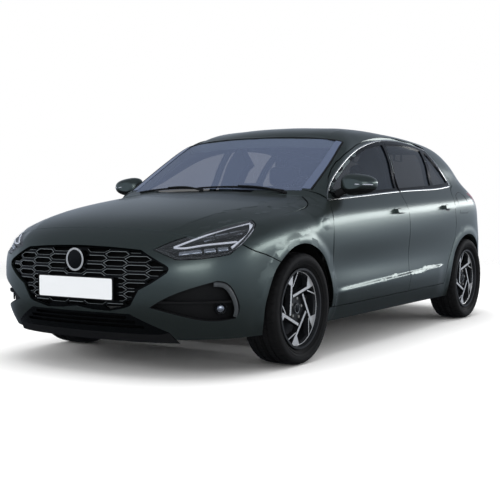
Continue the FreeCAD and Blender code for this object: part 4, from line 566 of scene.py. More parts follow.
skin("tailgate_lamp_covers", "tailgate_lamps", mats["red"], "tailgate", slotName="red_lens")
print("glass made")


# Charts put flat outlines on the form: seen from the side, front, back or top.
def solveOut(origins, way, depth=0.0, longest=1500.0):
    low, high = np.zeros(len(origins)), np.full(len(origins), longest)
    for _ in range(24):
        middle = (low + high) / 2
        inside = formValue(origins + middle[:, None] * way) < -depth
        low, high = np.where(inside, middle, low), np.where(inside, high, middle)
    return origins + low[:, None] * way


def chart(view, flat, depth=0.0):
    flat = np.asarray(flat, float)
    a, b, ones = flat[:, 0], flat[:, 1], np.ones(len(flat))
    starts = {"side": np.c_[150 * ones, a, b], "front": np.c_[a, -1350 * ones, b],
              "back": np.c_[a, 1380 * ones, b],
              "top": np.c_[a, b, 500 * ones]}
    ways = {"side": (1, 0, 0), "front": (0, -1, 0), "back": (0, 1, 0), "top": (0, 0, 1)}
    return solveOut(starts[view], np.array(ways[view], float), depth)


def smoothLine(points, spacing=12.0, closed=False):
    points = np.asarray(points, float)
    if closed:
        points = np.vstack([points, points[:1]])
    run = np.r_[0, np.cumsum(np.linalg.norm(np.diff(points, axis=0), axis=1))]
    if len(points) == 2:
        q = np.linspace(0, run[-1], max(2, int(run[-1] / spacing)))
        return points[0] + (points[1] - points[0]) * (q / run[-1])[:, None]
    q = np.linspace(0, run[-1], max(3, int(run[-1] / spacing) + 1))
    if closed:
        wrap = 3
        wide = np.vstack([points[-1 - wrap:-1], points, points[1:1 + wrap]])
        span = np.r_[run[-1 - wrap:-1] - run[-1], run, run[-1] + run[1:1 + wrap]]
        return (splineWeights(naturalSpline(span), q) @ wide)[:-1]
    return splineWeights(naturalSpline(run), q) @ points


def outlineOf(strokes, spacing=12.0):
    corners = []
    for stroke in strokes:
        for point in smoothLine(stroke, spacing):
            if not corners or np.hypot(*(point - corners[-1])) > spacing * 0.3:
                corners.append(point)
    while np.hypot(*(corners[0] - corners[-1])) < spacing * 0.3:
        corners.pop()
    return np.array(corners)


def inOutline(points, outline):
    x, y = points[:, 0], points[:, 1]
    found = np.zeros(len(points), bool)
    for first, second in zip(outline, np.roll(outline, -1, axis=0)):
        if first[1] == second[1]:
            continue
        crosses = (first[1] > y) != (second[1] > y)
        found ^= crosses & (x < first[0] + (y - first[1]) * (second[0] - first[0]) / (second[1] - first[1]))
    return found


def grown(outline, width):
    outline = np.asarray(outline, float)
    before, after = np.roll(outline, 1, axis=0), np.roll(outline, -1, axis=0)
    area = np.sum(outline[:, 0] * after[:, 1] - after[:, 0] * outline[:, 1])
    normals = []
    for run in (outline - before, after - outline):
        run = run / np.maximum(np.linalg.norm(run, axis=1), 1e-9)[:, None]
        normals.append(np.c_[run[:, 1], -run[:, 0]] * np.sign(area))
    middle = normals[0] + normals[1]
    return outline + middle * (2 * width / np.maximum((middle**2).sum(1), 1))[:, None]


def clipped(outline, point, way):
    kept, side = [], ((outline - point) * way).sum(1)
    for i in range(len(outline)):
        j = (i + 1) % len(outline)
        if side[i] >= 0:
            kept.append(outline[i])
        if (side[i] >= 0) != (side[j] >= 0):
            kept.append(outline[i] + (outline[j] - outline[i]) * side[i] / (side[i] - side[j]))
    return np.array(kept)


def flatMesh(outline, holes=(), spacing=16.0):
    loops = [np.asarray(outline, float)] + [np.asarray(h, float) for h in holes]
    low, high = loops[0].min(0), loops[0].max(0)
    xs, ys = np.arange(low[0], high[0], spacing), np.arange(low[1], high[1], spacing * 0.87)
    grid = np.array([(x + (j % 2) * spacing / 2, y) for j, y in enumerate(ys) for x in xs]).reshape(-1, 2)
    keep = inOutline(grid, loops[0])
    for hole in loops[1:]:
        keep &= ~inOutline(grid, hole)
    border = np.vstack(loops)
    if keep.any():
        near = np.array([np.min(np.hypot(*(border - g).T)) for g in grid[keep]])
        grid = grid[keep][near > spacing * 0.45]
    else:
        grid = np.zeros((0, 2))
    points = np.vstack([border, grid])
    edges, start = [], 0
    for loop in loops:
        edges += [(start + i, start + (i + 1) % len(loop)) for i in range(len(loop))]
        start += len(loop)
    result = delaunay_2d_cdt([Vector(p) for p in points], edges, [], 0, 1e-5)
    points, faces = np.array(result[0]), np.array(result[2])
    centres = points[faces].mean(1)
    keep = inOutline(centres, loops[0])
    for hole in loops[1:]:
        keep &= ~inOutline(centres, hole)
    return points, faces[keep]


def openEdges(faces):
    seen = {}
    for a, b, c in faces:
        for edge in ((a, b), (b, c), (c, a)):
            seen[edge] = True
    return [edge for edge in seen if (edge[1], edge[0]) not in seen]


def mirrored(points, faces, normals):
    points = points * (-1, 1, 1)
    return points, [tuple(reversed(f)) for f in faces], None if normals is None else normals * (-1, 1, 1)


def bothSides(name, points, faces, material, bodies, normals=None, smooth=True, slotName=None):
    made = [newObject(name + "_left", points, faces, material, bodies[0], normals, smooth, slotName)]
    made.append(newObject(name + "_right", *mirrored(points, faces, normals)[:2], material, bodies[1],
                          mirrored(points, faces, normals)[2], smooth, slotName))
    return made


def sheetArrays(view, outline, holes=(), lift=0.5, thick=3.0, spacing=16.0):
    flat, faces = flatMesh(outline, holes, spacing)
    points = chart(view, flat, -lift)
    normals = formNormal(points)
    corners = points[faces]
    turn = (np.cross(corners[:, 1] - corners[:, 0],
                     corners[:, 2] - corners[:, 0]) * normals[faces[:, 0]]).sum(1)
    faces = [tuple(f) if t > 0 else tuple(f[::-1]) for f, t in zip(faces, turn)]
    edges = openEdges(faces)
    rim = sorted({i for edge in edges for i in edge})
    under = {i: len(points) + k for k, i in enumerate(rim)}
    points = np.vstack([points, points[rim] - normals[rim] * thick])
    normals = np.vstack([normals, normals[rim]])
    return points, faces + [(b, a, under[a], under[b]) for a, b in edges], normals


def sweepArrays(path, normals, profile, closed=False):
    # profile: (across, up) pairs; the path runs on the form with its normals
    path, normals = np.asarray(path, float), np.asarray(normals, float)
    ahead = np.roll(path, -1, axis=0) - np.roll(path, 1, axis=0)
    if not closed:
        ahead[0], ahead[-1] = path[1] - path[0], path[-1] - path[-2]
    across = np.cross(normals, ahead)
    across /= np.maximum(np.linalg.norm(across, axis=1), 1e-9)[:, None]
    rings = np.stack([path + across * a + normals * b for a, b in profile], axis=1)
    count, width = len(path), len(profile)
    faces = []
    for i in range(count if closed else count - 1):
        j = (i + 1) % count
        faces += [(i * width + k, i * width + (k + 1) % width, j * width + (k + 1) % width, j * width + k)
                  for k in range(width)]
    if not closed:
        faces += [tuple(range(width))[::-1], tuple((count - 1) * width + k for k in range(width))]
    return rings.reshape(-1, 3), faces


def tubeArrays(path, radius, sides=10, closed=False):
    path = np.asarray(path, float)
    ahead = np.roll(path, -1, axis=0) - np.roll(path, 1, axis=0)
    if not closed:
        ahead[0], ahead[-1] = path[1] - path[0], path[-1] - path[-2]
    helper = np.tile((0.31, 0.17, 0.93), (len(path), 1))
    normals = np.cross(ahead, helper)
    normals /= np.linalg.norm(normals, axis=1)[:, None]
    profile = [(radius * math.cos(math.tau * k / sides),
                radius * math.sin(math.tau * k / sides)) for k in range(sides)]
    return sweepArrays(path, normals, profile, closed)


def latheArrays(profile, segments, start=0.0, sweep=math.tau):
    # profile: (axial, radius); the axle is X
    full = abs(sweep - math.tau) < 1e-6
    turns = start + sweep * np.arange(segments + (not full)) / segments
    rings = np.stack([np.stack([np.full(len(turns), a), r * np.sin(turns), r * np.cos(turns)], axis=1) for a,
                      r in profile], axis=1)
    width, faces = len(profile), []
    for i in range(segments):
        j = (i + 1) % len(turns)
        faces += [(i * width + k, j * width + k, j * width + k + 1,
                   i * width + k + 1) for k in range(width - 1)]
    return rings.reshape(-1, 3), faces


def prismArrays(outline, low, high, bevel=0.0):
    # an outline in (y, z) between two places on X, with its outer edge broken
    outline = np.asarray(outline, float)
    count = len(outline)
    inner = grown(outline, -bevel) if bevel else outline
    rings = [np.c_[np.full(count, low), outline], np.c_[np.full(count, high - bevel), outline],
             np.c_[np.full(count, high), inner]]
    faces = [tuple(range(count)), tuple(2 * count + k for k in range(count))[::-1]]
    for ring in range(2):
        faces += [(ring * count + (k + 1) % count, ring * count + k, (ring + 1) * count + k,
                   (ring + 1) * count + (k + 1) % count)
                  for k in range(count)]
    return np.vstack(rings), faces


def joined(parts):
    points, faces, start = [], [], 0
    for part, partFaces in parts:
        points.append(part)
        faces += [tuple(i + start for i in f) for f in partFaces]
        start += len(part)
    return np.vstack(points), faces


def roundedBox(low, high, bevel, segments=3):
    bm = bmesh.new()
    bmesh.ops.create_cube(bm, size=1)
    low, high = np.array(low, float), np.array(high, float)
    for vertex in bm.verts:
        vertex.co = Vector((low + high) / 2 + np.array(vertex.co) * (high - low))
    bmesh.ops.bevel(bm, geom=list(bm.edges), offset=bevel, segments=segments, profile=0.5, affect="EDGES")
    bm.verts.index_update()
    points, faces = np.array([v.co for v in bm.verts]), [tuple(v.index for v in f.verts) for f in bm.faces]
    bm.free()
    return points, faces


def turnedAbout(points, centre, axis, degrees):
    matrix = np.array(Matrix.Rotation(math.radians(degrees), 3, Vector(axis)))
    return (points - centre) @ matrix.T + centre


def righted(points, faces):
    bm = bmesh.new()
    vertices = [bm.verts.new(p) for p in points]
    for f in faces:
        try:
            bm.faces.new([vertices[i] for i in f])
        except ValueError:
            pass
    bmesh.ops.recalc_face_normals(bm, faces=bm.faces)
    bm.verts.index_update()
    result = np.array([v.co for v in bm.verts]), [tuple(v.index for v in f.verts) for f in bm.faces]
    bm.free()
    return result


def place(name, parts, material, body, smooth=True, slotName=None, mirror=None, sharp=35.0):
    points, faces = righted(*joined(parts))
    made = [newObject(name, points, faces, material, body, smooth=smooth, slotName=slotName)]
    if mirror:
        points, faces, _ = mirrored(points, faces, None)
        made.append(newObject(mirror[0], points, faces, material, mirror[1], smooth=smooth,
                              slotName=slotName))
    for obj in made:
        if smooth and sharp:
            obj.data.set_sharp_from_angle(angle=math.radians(sharp))
    return made


def sideAt(pairs):
    return np.array([(along(a), b * tall) for a, b in pairs], float)


def strokesAt(strokes):
    return [sideAt(s) for s in strokes]


# Windscreen: the glass's fired border laps the pillars, with a flat black rubber strip round it
screenLook = {"wide": 12.0, "edge": 4.0, "proud": 4.5, "border": 3.4, "borderDepth": 4.0}
paneSide = smoothLine([(x * half, along(y)) for x, y in ((0.716, 0.154), (0.698, 0.250), (0.660, 0.362))], 14)
borderSide = smoothLine([(x * half, along(y)) for x, y in ((0.782, 0.160), (0.762, 0.250), (0.712, 0.362))],
                        14)
screenTop = smoothLine([(x * half, along(y)) for x,
                        y in ((0.712, 0.362), (0.500, 0.354), (0.250, 0.342), (0, 0.336))], 14)
# the border's blue-grey colour is a painted sky reflection over the black fired frit
border = sheetArrays("top", np.vstack([paneSide, borderSide[::-1]]), (), screenLook["border"],
                     screenLook["borderDepth"], 16)
bothSides("windscreen_border", border[0], border[1], mats["screenBorder"], ("body", "body"), border[2],
          slotName="dark_glass")
w, edge = screenLook["wide"] / 2, screenLook["edge"]
strips = []
for flat in (borderSide, screenTop):
    path = chart("top", flat)
    strips.append(sweepArrays(path, formNormal(path),
                              [(-w, -2), (-w, edge), (0, screenLook["proud"]), (w, edge), (w, -2)]))
place("windscreen_rubber_left", strips, mats["seam"], "body", slotName="black_plastic",
      mirror=("windscreen_rubber_right", "body"))

# Window frames: gloss black panels and a satin bright line round the side windows
windowLook = {"line": 11.0, "proud": 2.4, "inset": 5.0, "panel": 0.9, "split": 3.5}
windowRing = np.array([
    (-842, 926), (-769, 991), (-571, 1119), (-305, 1239), (1, 1320), (266, 1360), (590, 1372), (851, 1356),
    (1047, 1328),
    (1138, 1213), (1228, 1090), (1236, 1062), (1207, 1041), (993, 1022), (700, 1008), (244, 990), (-168, 966),
    (-500, 946)], float)
windowRing = outlineOf([windowRing[:9], windowRing[8:11], windowRing[10:13], windowRing[12:],
                        windowRing[[-1, 0]]], 14)
frontPane = strokesAt([[(0.205, 0.683), (0.290, 0.769), (0.372, 0.834), (0.478, 0.888), (0.573, 0.912)],
                       [(0.573, 0.912), (0.552, 0.696)], [(0.552, 0.696), (0.414, 0.684), (0.205, 0.683)]])
rearPane = strokesAt([[(0.590, 0.914), (0.700, 0.923), (0.798, 0.913), (0.830, 0.905)],
                      [(0.830, 0.905), (0.795, 0.718)],
                      [(0.795, 0.718), (0.569, 0.697)], [(0.569, 0.697), (0.590, 0.914)]])
quarterPane = strokesAt([[(0.845, 0.899), (0.858, 0.893), (0.864, 0.884)],
                         [(0.864, 0.884), (0.893, 0.826), (0.931, 0.756)],
                         [(0.931, 0.756), (0.933, 0.744), (0.920, 0.734)],
                         [(0.920, 0.734), (0.868, 0.727), (0.812, 0.720)],
                         [(0.812, 0.720), (0.845, 0.899)]])
splitPoint, splitEnd = sideAt([(0.568, 0.690), (0.592, 0.946)])
splitWay = np.array([(splitEnd - splitPoint)[1], -(splitEnd - splitPoint)[0]])
splitWay /= np.linalg.norm(splitWay)  # points to the rear
doorPairs = {"front": ("door_front_left", "door_front_right"), "rear": ("door_rear_left", "door_rear_right")}
for part, way, panes in (("front", -splitWay, [frontPane]), ("rear", splitWay, [rearPane, quarterPane])):
    region = clipped(windowRing, splitPoint + way * windowLook["split"], way)
    holes = [grown(outlineOf(p, 14), -3) for p in panes]
    points, faces, normals = sheetArrays("side", region, holes, lift=windowLook["panel"], thick=8.5,
                                         spacing=22)
    bothSides("window_frame_" + part, points, faces, mats["gloss"], doorPairs[part], normals,
              slotName="black_plastic")
    line = grown(windowRing, -windowLook["inset"])
    beyond = ((line - splitPoint) * way).sum(1) > windowLook["split"]
    first = [i for i in range(len(line)) if beyond[i] and not beyond[i - 1]][0]
    run = np.array([line[(first + k) % len(line)] for k in range(beyond.sum())])
    path = chart("side", run, -0.6)
    wide, proud = windowLook["line"] / 2, windowLook["proud"]
    profile = [(-wide, -1.0), (-wide, proud * 0.5), (-wide * 0.6, proud), (wide * 0.6, proud),
               (wide, proud * 0.5), (wide, -1.0)]
    points, faces = righted(*sweepArrays(path, formNormal(path), profile))
    for obj in bothSides("bright_line_" + part, points, faces, mats["chrome"], doorPairs[part]):
        obj.data.set_sharp_from_angle(angle=math.radians(40))
print("window frames made")


# Bare grille look: gloss mesh, grey strips on the cell edges as painted highlights, a plain disc and a blank
# plate
grilleLook = {"pitch": 260.0, "rise": 22.5, "set": 12.0, "halfCell": 74.1, "halfHigh": 14.4, "tip": 25.9,
              "edge": 2.6,
              "bossFront": -2160.0, "plate": (520.0, 110.0)}
grilleLine = np.array([(0, 0.472), (0.250, 0.468), (0.446, 0.460), (0.600, 0.412), (0.630, 0.396),
                       (0.622, 0.380),
                       (0.540, 0.345), (0.458, 0.318), (0.400, 0.262), (0.360, 0.252),
                       (0, 0.250)]) * (half, tall)
grilleLine = np.vstack([grilleLine, grilleLine[-2:0:-1] * (-1, 1)])
inside = grown(grilleLine, -14)
bars = []
# grey strips along each cell's upper and lower edge: painted highlights standing in for the glints on the gloss
# mesh
for row in range(15):
    for column in range(-3, 4):
        x, z = (column + (row % 2) / 2) * grilleLook["pitch"], 0.256 * tall + row * grilleLook["rise"]
        a, b = grilleLook["halfCell"], grilleLook["halfHigh"]
        ring = [(x - a, z), (x - a + grilleLook["tip"], z + b), (x + a - grilleLook["tip"], z + b),
                (x + a, z)]
        low = [(x - a, z), (x - a + grilleLook["tip"], z - b), (x + a - grilleLook["tip"], z - b), (x + a, z)]
        for run in (ring, low):
            fine = smoothLine(run[1:3], 14)
            fine = np.vstack([smoothLine(run[0:2], 10)[:-1], fine, smoothLine(run[2:4], 10)[1:]])
            clear = inOutline(fine, inside)
            clear &= np.hypot(fine[:, 0], fine[:, 1] - 0.42 * tall) > 68
            clear &= ~((np.abs(fine[:, 0]) < 270) & (np.abs(fine[:, 1] - 0.318 * tall) < 64))
            starts = [i for i in range(len(fine)) if clear[i] and (i == 0 or not clear[i - 1])]
            for start in starts:
                stop = start
                while stop < len(fine) and clear[stop]:
                    stop += 1
                if stop - start < 3:
                    continue
                path = chart("front", fine[start:stop], grilleLook["set"] - 0.3)
                w = grilleLook["edge"] / 2 if run is ring else grilleLook["edge"] / 4
                bars.append(sweepArrays(path, formNormal(path), [(-w, -1.5), (-w, 0.8), (w, 0.8), (w, -1.5)]))
place("grille_cell_highlights", bars, mats["cellHighlight"], "body", slotName="black_plastic")
discCentre = np.array([0.0, grilleLook["bossFront"], 0.42 * tall])
discWay = (0, -1, 0)


def facing(parts, centre, way):  # a lathe or prism on X, turned to look along another way
    matrix = np.array(Vector((1, 0, 0)).rotation_difference(Vector(way)).to_matrix())
    return [(points @ matrix.T + centre, faces) for points, faces in parts]


disc = [latheArrays([(-1.5, 0.01), (-1.5, 52), (0.8, 52), (1.2, 50), (1.6, 0.01)], 64)]
ring = [latheArrays([(-2, 50), (-2, 61.5), (1.4, 61.5), (2.6, 59), (2.6, 53.5), (1.4, 51), (-2, 50)], 72)]
place("nose_disc", facing(disc, discCentre, discWay), mats["gloss"], "body", slotName="black_plastic")
place("nose_disc_ring", facing(ring, discCentre, discWay), mats["satin"], "body")


def plateParts(centre, way, thick=1.2):
    wide, high = grilleLook["plate"]
    corner = 8
    outline = [(sx * (wide / 2 - corner) + corner * math.cos(t),
                sz * (high / 2 - corner) + corner * math.sin(t))
               for sx, sz, t0 in ((1, 1, 0), (-1, 1, 90), (-1, -1, 180), (1, -1, 270))
               for t in [math.radians(t0 + k * 22.5) for k in range(5)]]
    return facing([prismArrays(outline, 0, thick, 0.5)], centre, way)


plateY = -2162.4
for name, y, z, way in (("front_plate", plateY, 0.318 * tall, (0, -1, 0)),
                        ("rear_plate", along(2) + 0.2, 0.375 * tall, (0, 1, 0))):
    centre = np.array([0, y, z])
    frameOuter = [(sx * 266, sz * 61) for sx, sz in ((1, 1), (-1, 1), (-1, -1), (1, -1))]
    place(name + "_blank", plateParts(centre + np.array(way) * 0.3, way, 1.0), mats["white"], "body",
          sharp=30)
    if way[1] > 0:
        flat, faces = flatMesh(np.array(frameOuter) + (0, z), (), 20)
        back = chart("back", flat, 3)
        front = np.c_[flat[:, 0], np.full(len(flat), y + 0.8), flat[:, 1]]
        edges = openEdges([tuple(f) for f in faces])
        solid = np.vstack([front, back])
        walls = [(a, b, b + len(flat), a + len(flat)) for a, b in edges]
        place(name + "_plinth", [(solid, [tuple(f) for f in faces] + walls)], mats["plastic"], "body",
              slotName="black_plastic")
    else:
        place(name + "_frame", facing([prismArrays(frameOuter, -8, 0.8, 0.6)], centre, way), mats["plastic"],
              "body",
              slotName="black_plastic")
# dark sheets set back behind the grille and the lower intake: painted shade for the hollow behind the openings
points, faces, normals = sheetArrays("front", grown(grilleLine, -3), (), -46.0, 3.0, 30)
newObject("grille_shade_sheet", points, faces, mats["shade"], "body", normals, slotName="black_plastic")
intakeLine = np.array([(-0.62, 0.140), (-0.58, 0.172), (-0.385, 0.230), (0.385, 0.230), (0.58, 0.172),
                       (0.62, 0.140)]) * (half, tall)
points, faces, normals = sheetArrays("front", intakeLine, (), -34.0, 3.0, 30)
lipLine = np.array([(-0.632, 0.126), (-0.60, 0.166), (0.60, 0.166), (0.632, 0.126)]) * (half, tall)
lipPoints, lipFaces, lipNormals = sheetArrays("front", lipLine, (), 0.7, 3.0, 26)
newObject("front_lip", lipPoints, lipFaces, mats["lip"], "body", lipNormals, slotName="black_plastic")
newObject("intake_shade_sheet", points, faces, mats["shade"], "body", normals, slotName="black_plastic")
print("grille trim made")


# Headlamps: a light guide in a long loop, reflector boxes inside and below it, and a pale lower edge
lampLook = {"guideDepth": 8.0, "boxDepth": 13.0, "angle": 40.0}
# each guide: its width, then its route as shares of the half width, the length and the height
guides = {
    "day_light_upper": (11.0, [(0.638, -0.860, 0.468), (0.732, -0.764, 0.498), (0.795, -0.655, 0.521),
                               (0.841, -0.537, 0.538),
                               (0.880, -0.425, 0.550)]),
    "day_light_end": (24.0, [(0.884, -0.425, 0.546), (0.909, -0.470, 0.523), (0.915, -0.537, 0.498),
                             (0.906, -0.600, 0.478),
                             (0.896, -0.650, 0.463)]),
    "day_light_lower": (10.0, [(0.898, -0.600, 0.486), (0.835, -0.712, 0.480), (0.762, -0.787, 0.473),
                               (0.678, -0.846, 0.465),
                               (0.639, -0.861, 0.467)]),
    "lamp_lower_edge": (4.5, [(0.532, -0.901, 0.461), (0.602, -0.897, 0.446), (0.672, -0.880, 0.431),
                              (0.781, -0.815, 0.435),
                              (0.850, -0.740, 0.441), (0.890, -0.676, 0.447)]),
}
# each row of boxes: its height, how many, then its route
boxRows = [(27.0, 3, [(0.765, -0.748, 0.493), (0.814, -0.683, 0.504), (0.893, -0.520, 0.521)]),
           (24.0, 4, [(0.680, -0.866, 0.446), (0.765, -0.809, 0.453), (0.832, -0.745, 0.458),
                      (0.890, -0.655, 0.463)])]


def onSight(rows, depth):  # points seen from ahead at an angle, pushed back onto the form
    angle = math.radians(lampLook["angle"])
    sight = np.array([math.sin(angle), -math.cos(angle), 0])
    points = smoothLine(np.array([(x * half, along(y), z * tall) for x, y, z in rows]), 14)
    return solveOut(points - sight * 260, sight, depth)


for name, (wide, rows) in guides.items():
    path = onSight(rows, lampLook["guideDepth"])
    points, faces = righted(*sweepArrays(path, formNormal(path),
                                         [(-wide / 2, -2), (-wide / 2, 2), (wide / 2, 2), (wide / 2, -2)]))
    bothSides(name, points, faces, mats["lampWhite"], ("body", "body"), slotName="clear_lens")
cells = []
for high, count, rows in boxRows:
    path = onSight(rows, lampLook["boxDepth"])
    for k in range(count):
        part = path[int(k / count * (len(path) - 1)):int((k + 0.66) / count * (len(path) - 1)) + 2]
        section = [(-high / 2, -6), (-high / 2, 0), (-high * 0.38, 4), (high * 0.38, 4), (high / 2, 0),
                   (high / 2, -6)]
        cells.append(sweepArrays(part, formNormal(part), section))
points, faces = righted(*joined(cells))
bothSides("lamp_reflectors", points, faces, mats["reflector"], ("body", "body"), slotName="clear_lens")
print("lamps made")


# Fog lamps
fogPlace = np.array([0.832 * half, along(-0.680), 0.252 * tall])
fogWay = np.array([math.sin(math.radians(40)), -math.cos(math.radians(40)), 0])
fogFront = solveOut(np.array([fogPlace - fogWay * 200]), fogWay, 20.0)[0]
fogGlass = facing([latheArrays([(-3, 0.01), (-3, 19), (0, 19), (2, 17), (4, 10), (5, 0.01)], 40)], fogFront,
                  tuple(fogWay))
fogRing = facing([latheArrays([(-4, 18.5), (-4, 33), (2.5, 33), (4, 31), (-1.0, 19.0), (-4, 18.5)], 48)],
                 fogFront, tuple(fogWay))
trimPath = onSight([(0.850, -0.768, 0.340), (0.886, -0.716, 0.335), (0.906, -0.675, 0.309),
                    (0.914, -0.645, 0.276),
                    (0.913, -0.630, 0.243), (0.905, -0.634, 0.220)], 1.5)
points, faces = righted(*sweepArrays(trimPath, formNormal(trimPath),
                                     [(-13, -4), (-13, 0), (-9, 1.5), (9, 1.5), (13, -3), (13, -4)]))
bothSides("fog_pocket_trim", points, faces, mats["pocketTrim"], ("body", "body"), slotName="black_plastic")
for name, parts, material in (("fog_lamp_glass", fogGlass, "reflector"), ("fog_lamp_ring", fogRing, "gloss")):
    points, faces = righted(*joined(parts))
    bothSides(name, points, faces, mats[material], ("body", "body"), slotName="clear_lens")


# Wheels: turned faces on the dark casting, five bolts, a plain cap
wheelLook = {"rim": 228.0, "face": 70.3, "lean": -28.0, "front": 783.0, "rear": 787.0}
bladeFaces = [[(-0.440, 0.066), (-0.372, 0.028), (0.045, 0.660), (-0.030, 0.700)],
              [(-0.040, 0.660), (0.045, 0.640), (0.200, 0.905), (-0.200, 0.905)],
              [(0, 0.612), (0.045, 0.590), (0.465, 0.805), (0.435, 0.840)]]
faceParts, boltParts = [], []
for turn in range(5):
    for k, shares in enumerate(bladeFaces):
        outline = grown(np.array(shares) * wheelLook["rim"], -1.6 if k != 1 else -2.2)
        points, faces = prismArrays(outline, wheelLook["face"] - 2, wheelLook["face"] + 0.9 + 0.15 * k, 0.6)
        faceParts.append((turnedAbout(points, np.zeros(3), (1, 0, 0), -(wheelLook["lean"] + 72 * turn)),
                          faces))
    angle = math.radians(wheelLook["lean"] + 36 + 72 * turn)
    hexes = [(10 * math.sin(math.tau * k / 6), 10 * math.cos(math.tau * k / 6)) for k in range(6)]
    points, faces = prismArrays(hexes, 50, 62, 1.6)
    boltParts.append((points + (0, 56 * math.sin(angle), 56 * math.cos(angle)), faces))
rimEdge = latheArrays([(92.0, 219.5), (94.9, 219.5), (94.9, 227.4), (92.0, 227.4), (92.0, 219.5)], 144)
innerEdge = latheArrays([(69.0, 205.5), (72.0, 205.8), (73.5, 208.2), (69.0, 208.5), (69.0, 205.5)], 144)
capParts = [latheArrays([(58, 0.01), (66.0, 0.01), (65.6, 22), (64.5, 24.5), (60, 25.5), (58, 25.5)], 48)]
capRing = [latheArrays([(62, 25.2), (65.8, 25.2), (66.0, 27.3), (62, 28.0), (62, 25.2)], 48)]
valve = facing([latheArrays([(0, 4), (18, 4), (22, 2.5), (22, 0.01)], 12)], np.array([66.0, 0, 192.0]),
               (1, 0, 0))
tyreProfile = [(-82, 229.5), (-86, 236), (-96, 246), (-104, 258), (-109, 272), (-110.5, 284), (-108, 296),
               (-101, 306), (-93, 311.5),
               (-84, 313.5)]
tread = [(-72, 314.8), (-55, 315.8), (-52, 309.0), (-44, 309.0), (-41, 316.2), (-15, 316.8), (-12, 309.5),
         (-3, 309.5), (0, 316.9)]
tyreLine = tyreProfile + tread
tyreLine += [(-a, r) for a, r in reversed(tyreLine[:-1])]
tyreLine = [(a, min(r, 316.9)) for a, r in tyreLine]


def tyreArrays(segments=216):
    points, faces = latheArrays(tyreLine, segments)
    points = points.reshape(segments, len(tyreLine), 3)
    for k, (a, r) in enumerate(tyreLine):
        for i in range(segments):
            cut = (i % 6 == 0 and 60 < abs(a) < 100
                   and r > 300) or (i % 6 == 3 and 10 < abs(a) < 42 and r > 313)
            if cut:
                points[i, k, 1:] *= 1 - 5.0 / r
    # the sidewall's moulded steps, the bead line and the rim guard, are separate rings, made after this
    return points.reshape(-1, 3), faces


rings = [latheArrays([(110.4, 268.0), (111.6, 268.6), (111.6, 269.8), (110.4, 270.4)], 144),
         latheArrays([(101.5, 249.5), (103.8, 250.5), (104.6, 252.5), (103.5, 254)], 144),
         latheArrays([(106.8, 297.5), (107.6, 298.2), (106.4, 300.2), (105.2, 300.6)], 144)]
for end, track, y in (("front", wheelLook["front"], frontAxle), ("rear", wheelLook["rear"], rearAxle)):
    centre = np.array([track, y, hub])
    bodies = tuple("road_wheel_%s_%s" % (end, side) for side in ("left", "right"))
    for name, parts, material, slotName in (
            ("wheel_faces_" + end, faceParts + [rimEdge, innerEdge], "machined", "wheel_alloy"),
            ("wheel_bolts_" + end, boltParts, "aluminium", "wheel_alloy"),
            ("wheel_cap_" + end, capParts, "gloss", "wheel_alloy"),
            ("wheel_cap_ring_" + end, capRing, "chrome", "wheel_alloy"),
            ("tyre_valve_" + end, valve, "tyre", "tyre_rubber"),
            ("tyre_lines_" + end, rings, "tyre", "tyre_rubber")):
        points, faces = righted(*joined([(p + centre, f) for p, f in parts]))
        for obj in bothSides(name, points, faces, mats[material], bodies, slotName=slotName):
            obj.data.set_sharp_from_angle(angle=math.radians(30))
    points, faces = righted(*tyreArrays())
    for side, obj in zip(("left", "right"), bothSides("tread_tyre_" + end, points + centre, faces,
                                                      mats["tyre"], bodies, slotName="tyre_rubber")):
        obj.data.set_sharp_from_angle(angle=math.radians(38))
        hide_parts("tyre_%s_%s" % (end, side))
print("wheels made")


# Mirrors: black base and glass, a side repeater line
mirrorLook = {"middle": (905.0, along(0.215), 0.706 * tall), "wide": 112.5, "high": 64.0, "deep": 105.0}
mx, my, mz = mirrorLook["middle"]
wide, high = mirrorLook["wide"], mirrorLook["high"]
glassLine = [(mx + sx * (wide * 0.80 - 26) - 2 + 24 * math.cos(t),
              mz + sz * (high * 0.68 - 24) + 22 * math.sin(t))
             for sx, sz, t0 in ((1, 1, 0), (-1, 1, 90), (-1, -1, 180),
                                (1, -1, 270)) for t in [math.radians(t0 + k * 15) for k in range(7)]]
glassPoints = np.array([(x, my + mirrorLook["deep"] + y, z) for y in (-5.5, -1.5) for x, z in glassLine])
count = len(glassLine)
glassFaces = [tuple(range(count)), tuple(range(count, 2 * count))] + [(k, (k + 1) % count,
    count + (k + 1) % count, count + k) for k in range(count)]
points, faces = righted(glassPoints, glassFaces)
bothSides("mirror_glass", points, faces, mats["mirrorGlass"], doorPairs["front"])
for side, body in zip(("left", "right"), doorPairs["front"]):
    points, triangles = meshArrays(nodes["mirror_" + side])
    centre = points[triangles].mean(1)
    low = triangles[(centre[:, 2] < mz - high * 0.46) | (np.abs(centre[:, 0]) < mx - wide * 0.97)]
    points, faces, edges = finer(points, low, 20)
    mesh = bmesh.new()
    vertices = [mesh.verts.new(p) for p in points]
    for f in faces:
        mesh.faces.new([vertices[i] for i in f])
    mesh.normal_update()
    points = np.array([np.array(v.co) + np.array(v.normal) * 0.5 for v in mesh.verts])
    mesh.free()
    newObject("mirror_base_" + side, points, faces, mats["plastic"], body, slotName="black_plastic")
repeater = [(mx + wide * a, my + b, mz + c) for a, b,
            c in ((0.15, -1, -2), (0.55, 6, -3), (0.86, 22, -4), (1.01, 48, -5))]
points, faces = righted(*tubeArrays(smoothLine(repeater, 8), 3.2, 8))
bothSides("side_repeater", points, faces, mats["lampWhite"], doorPairs["front"])
print("mirrors made")


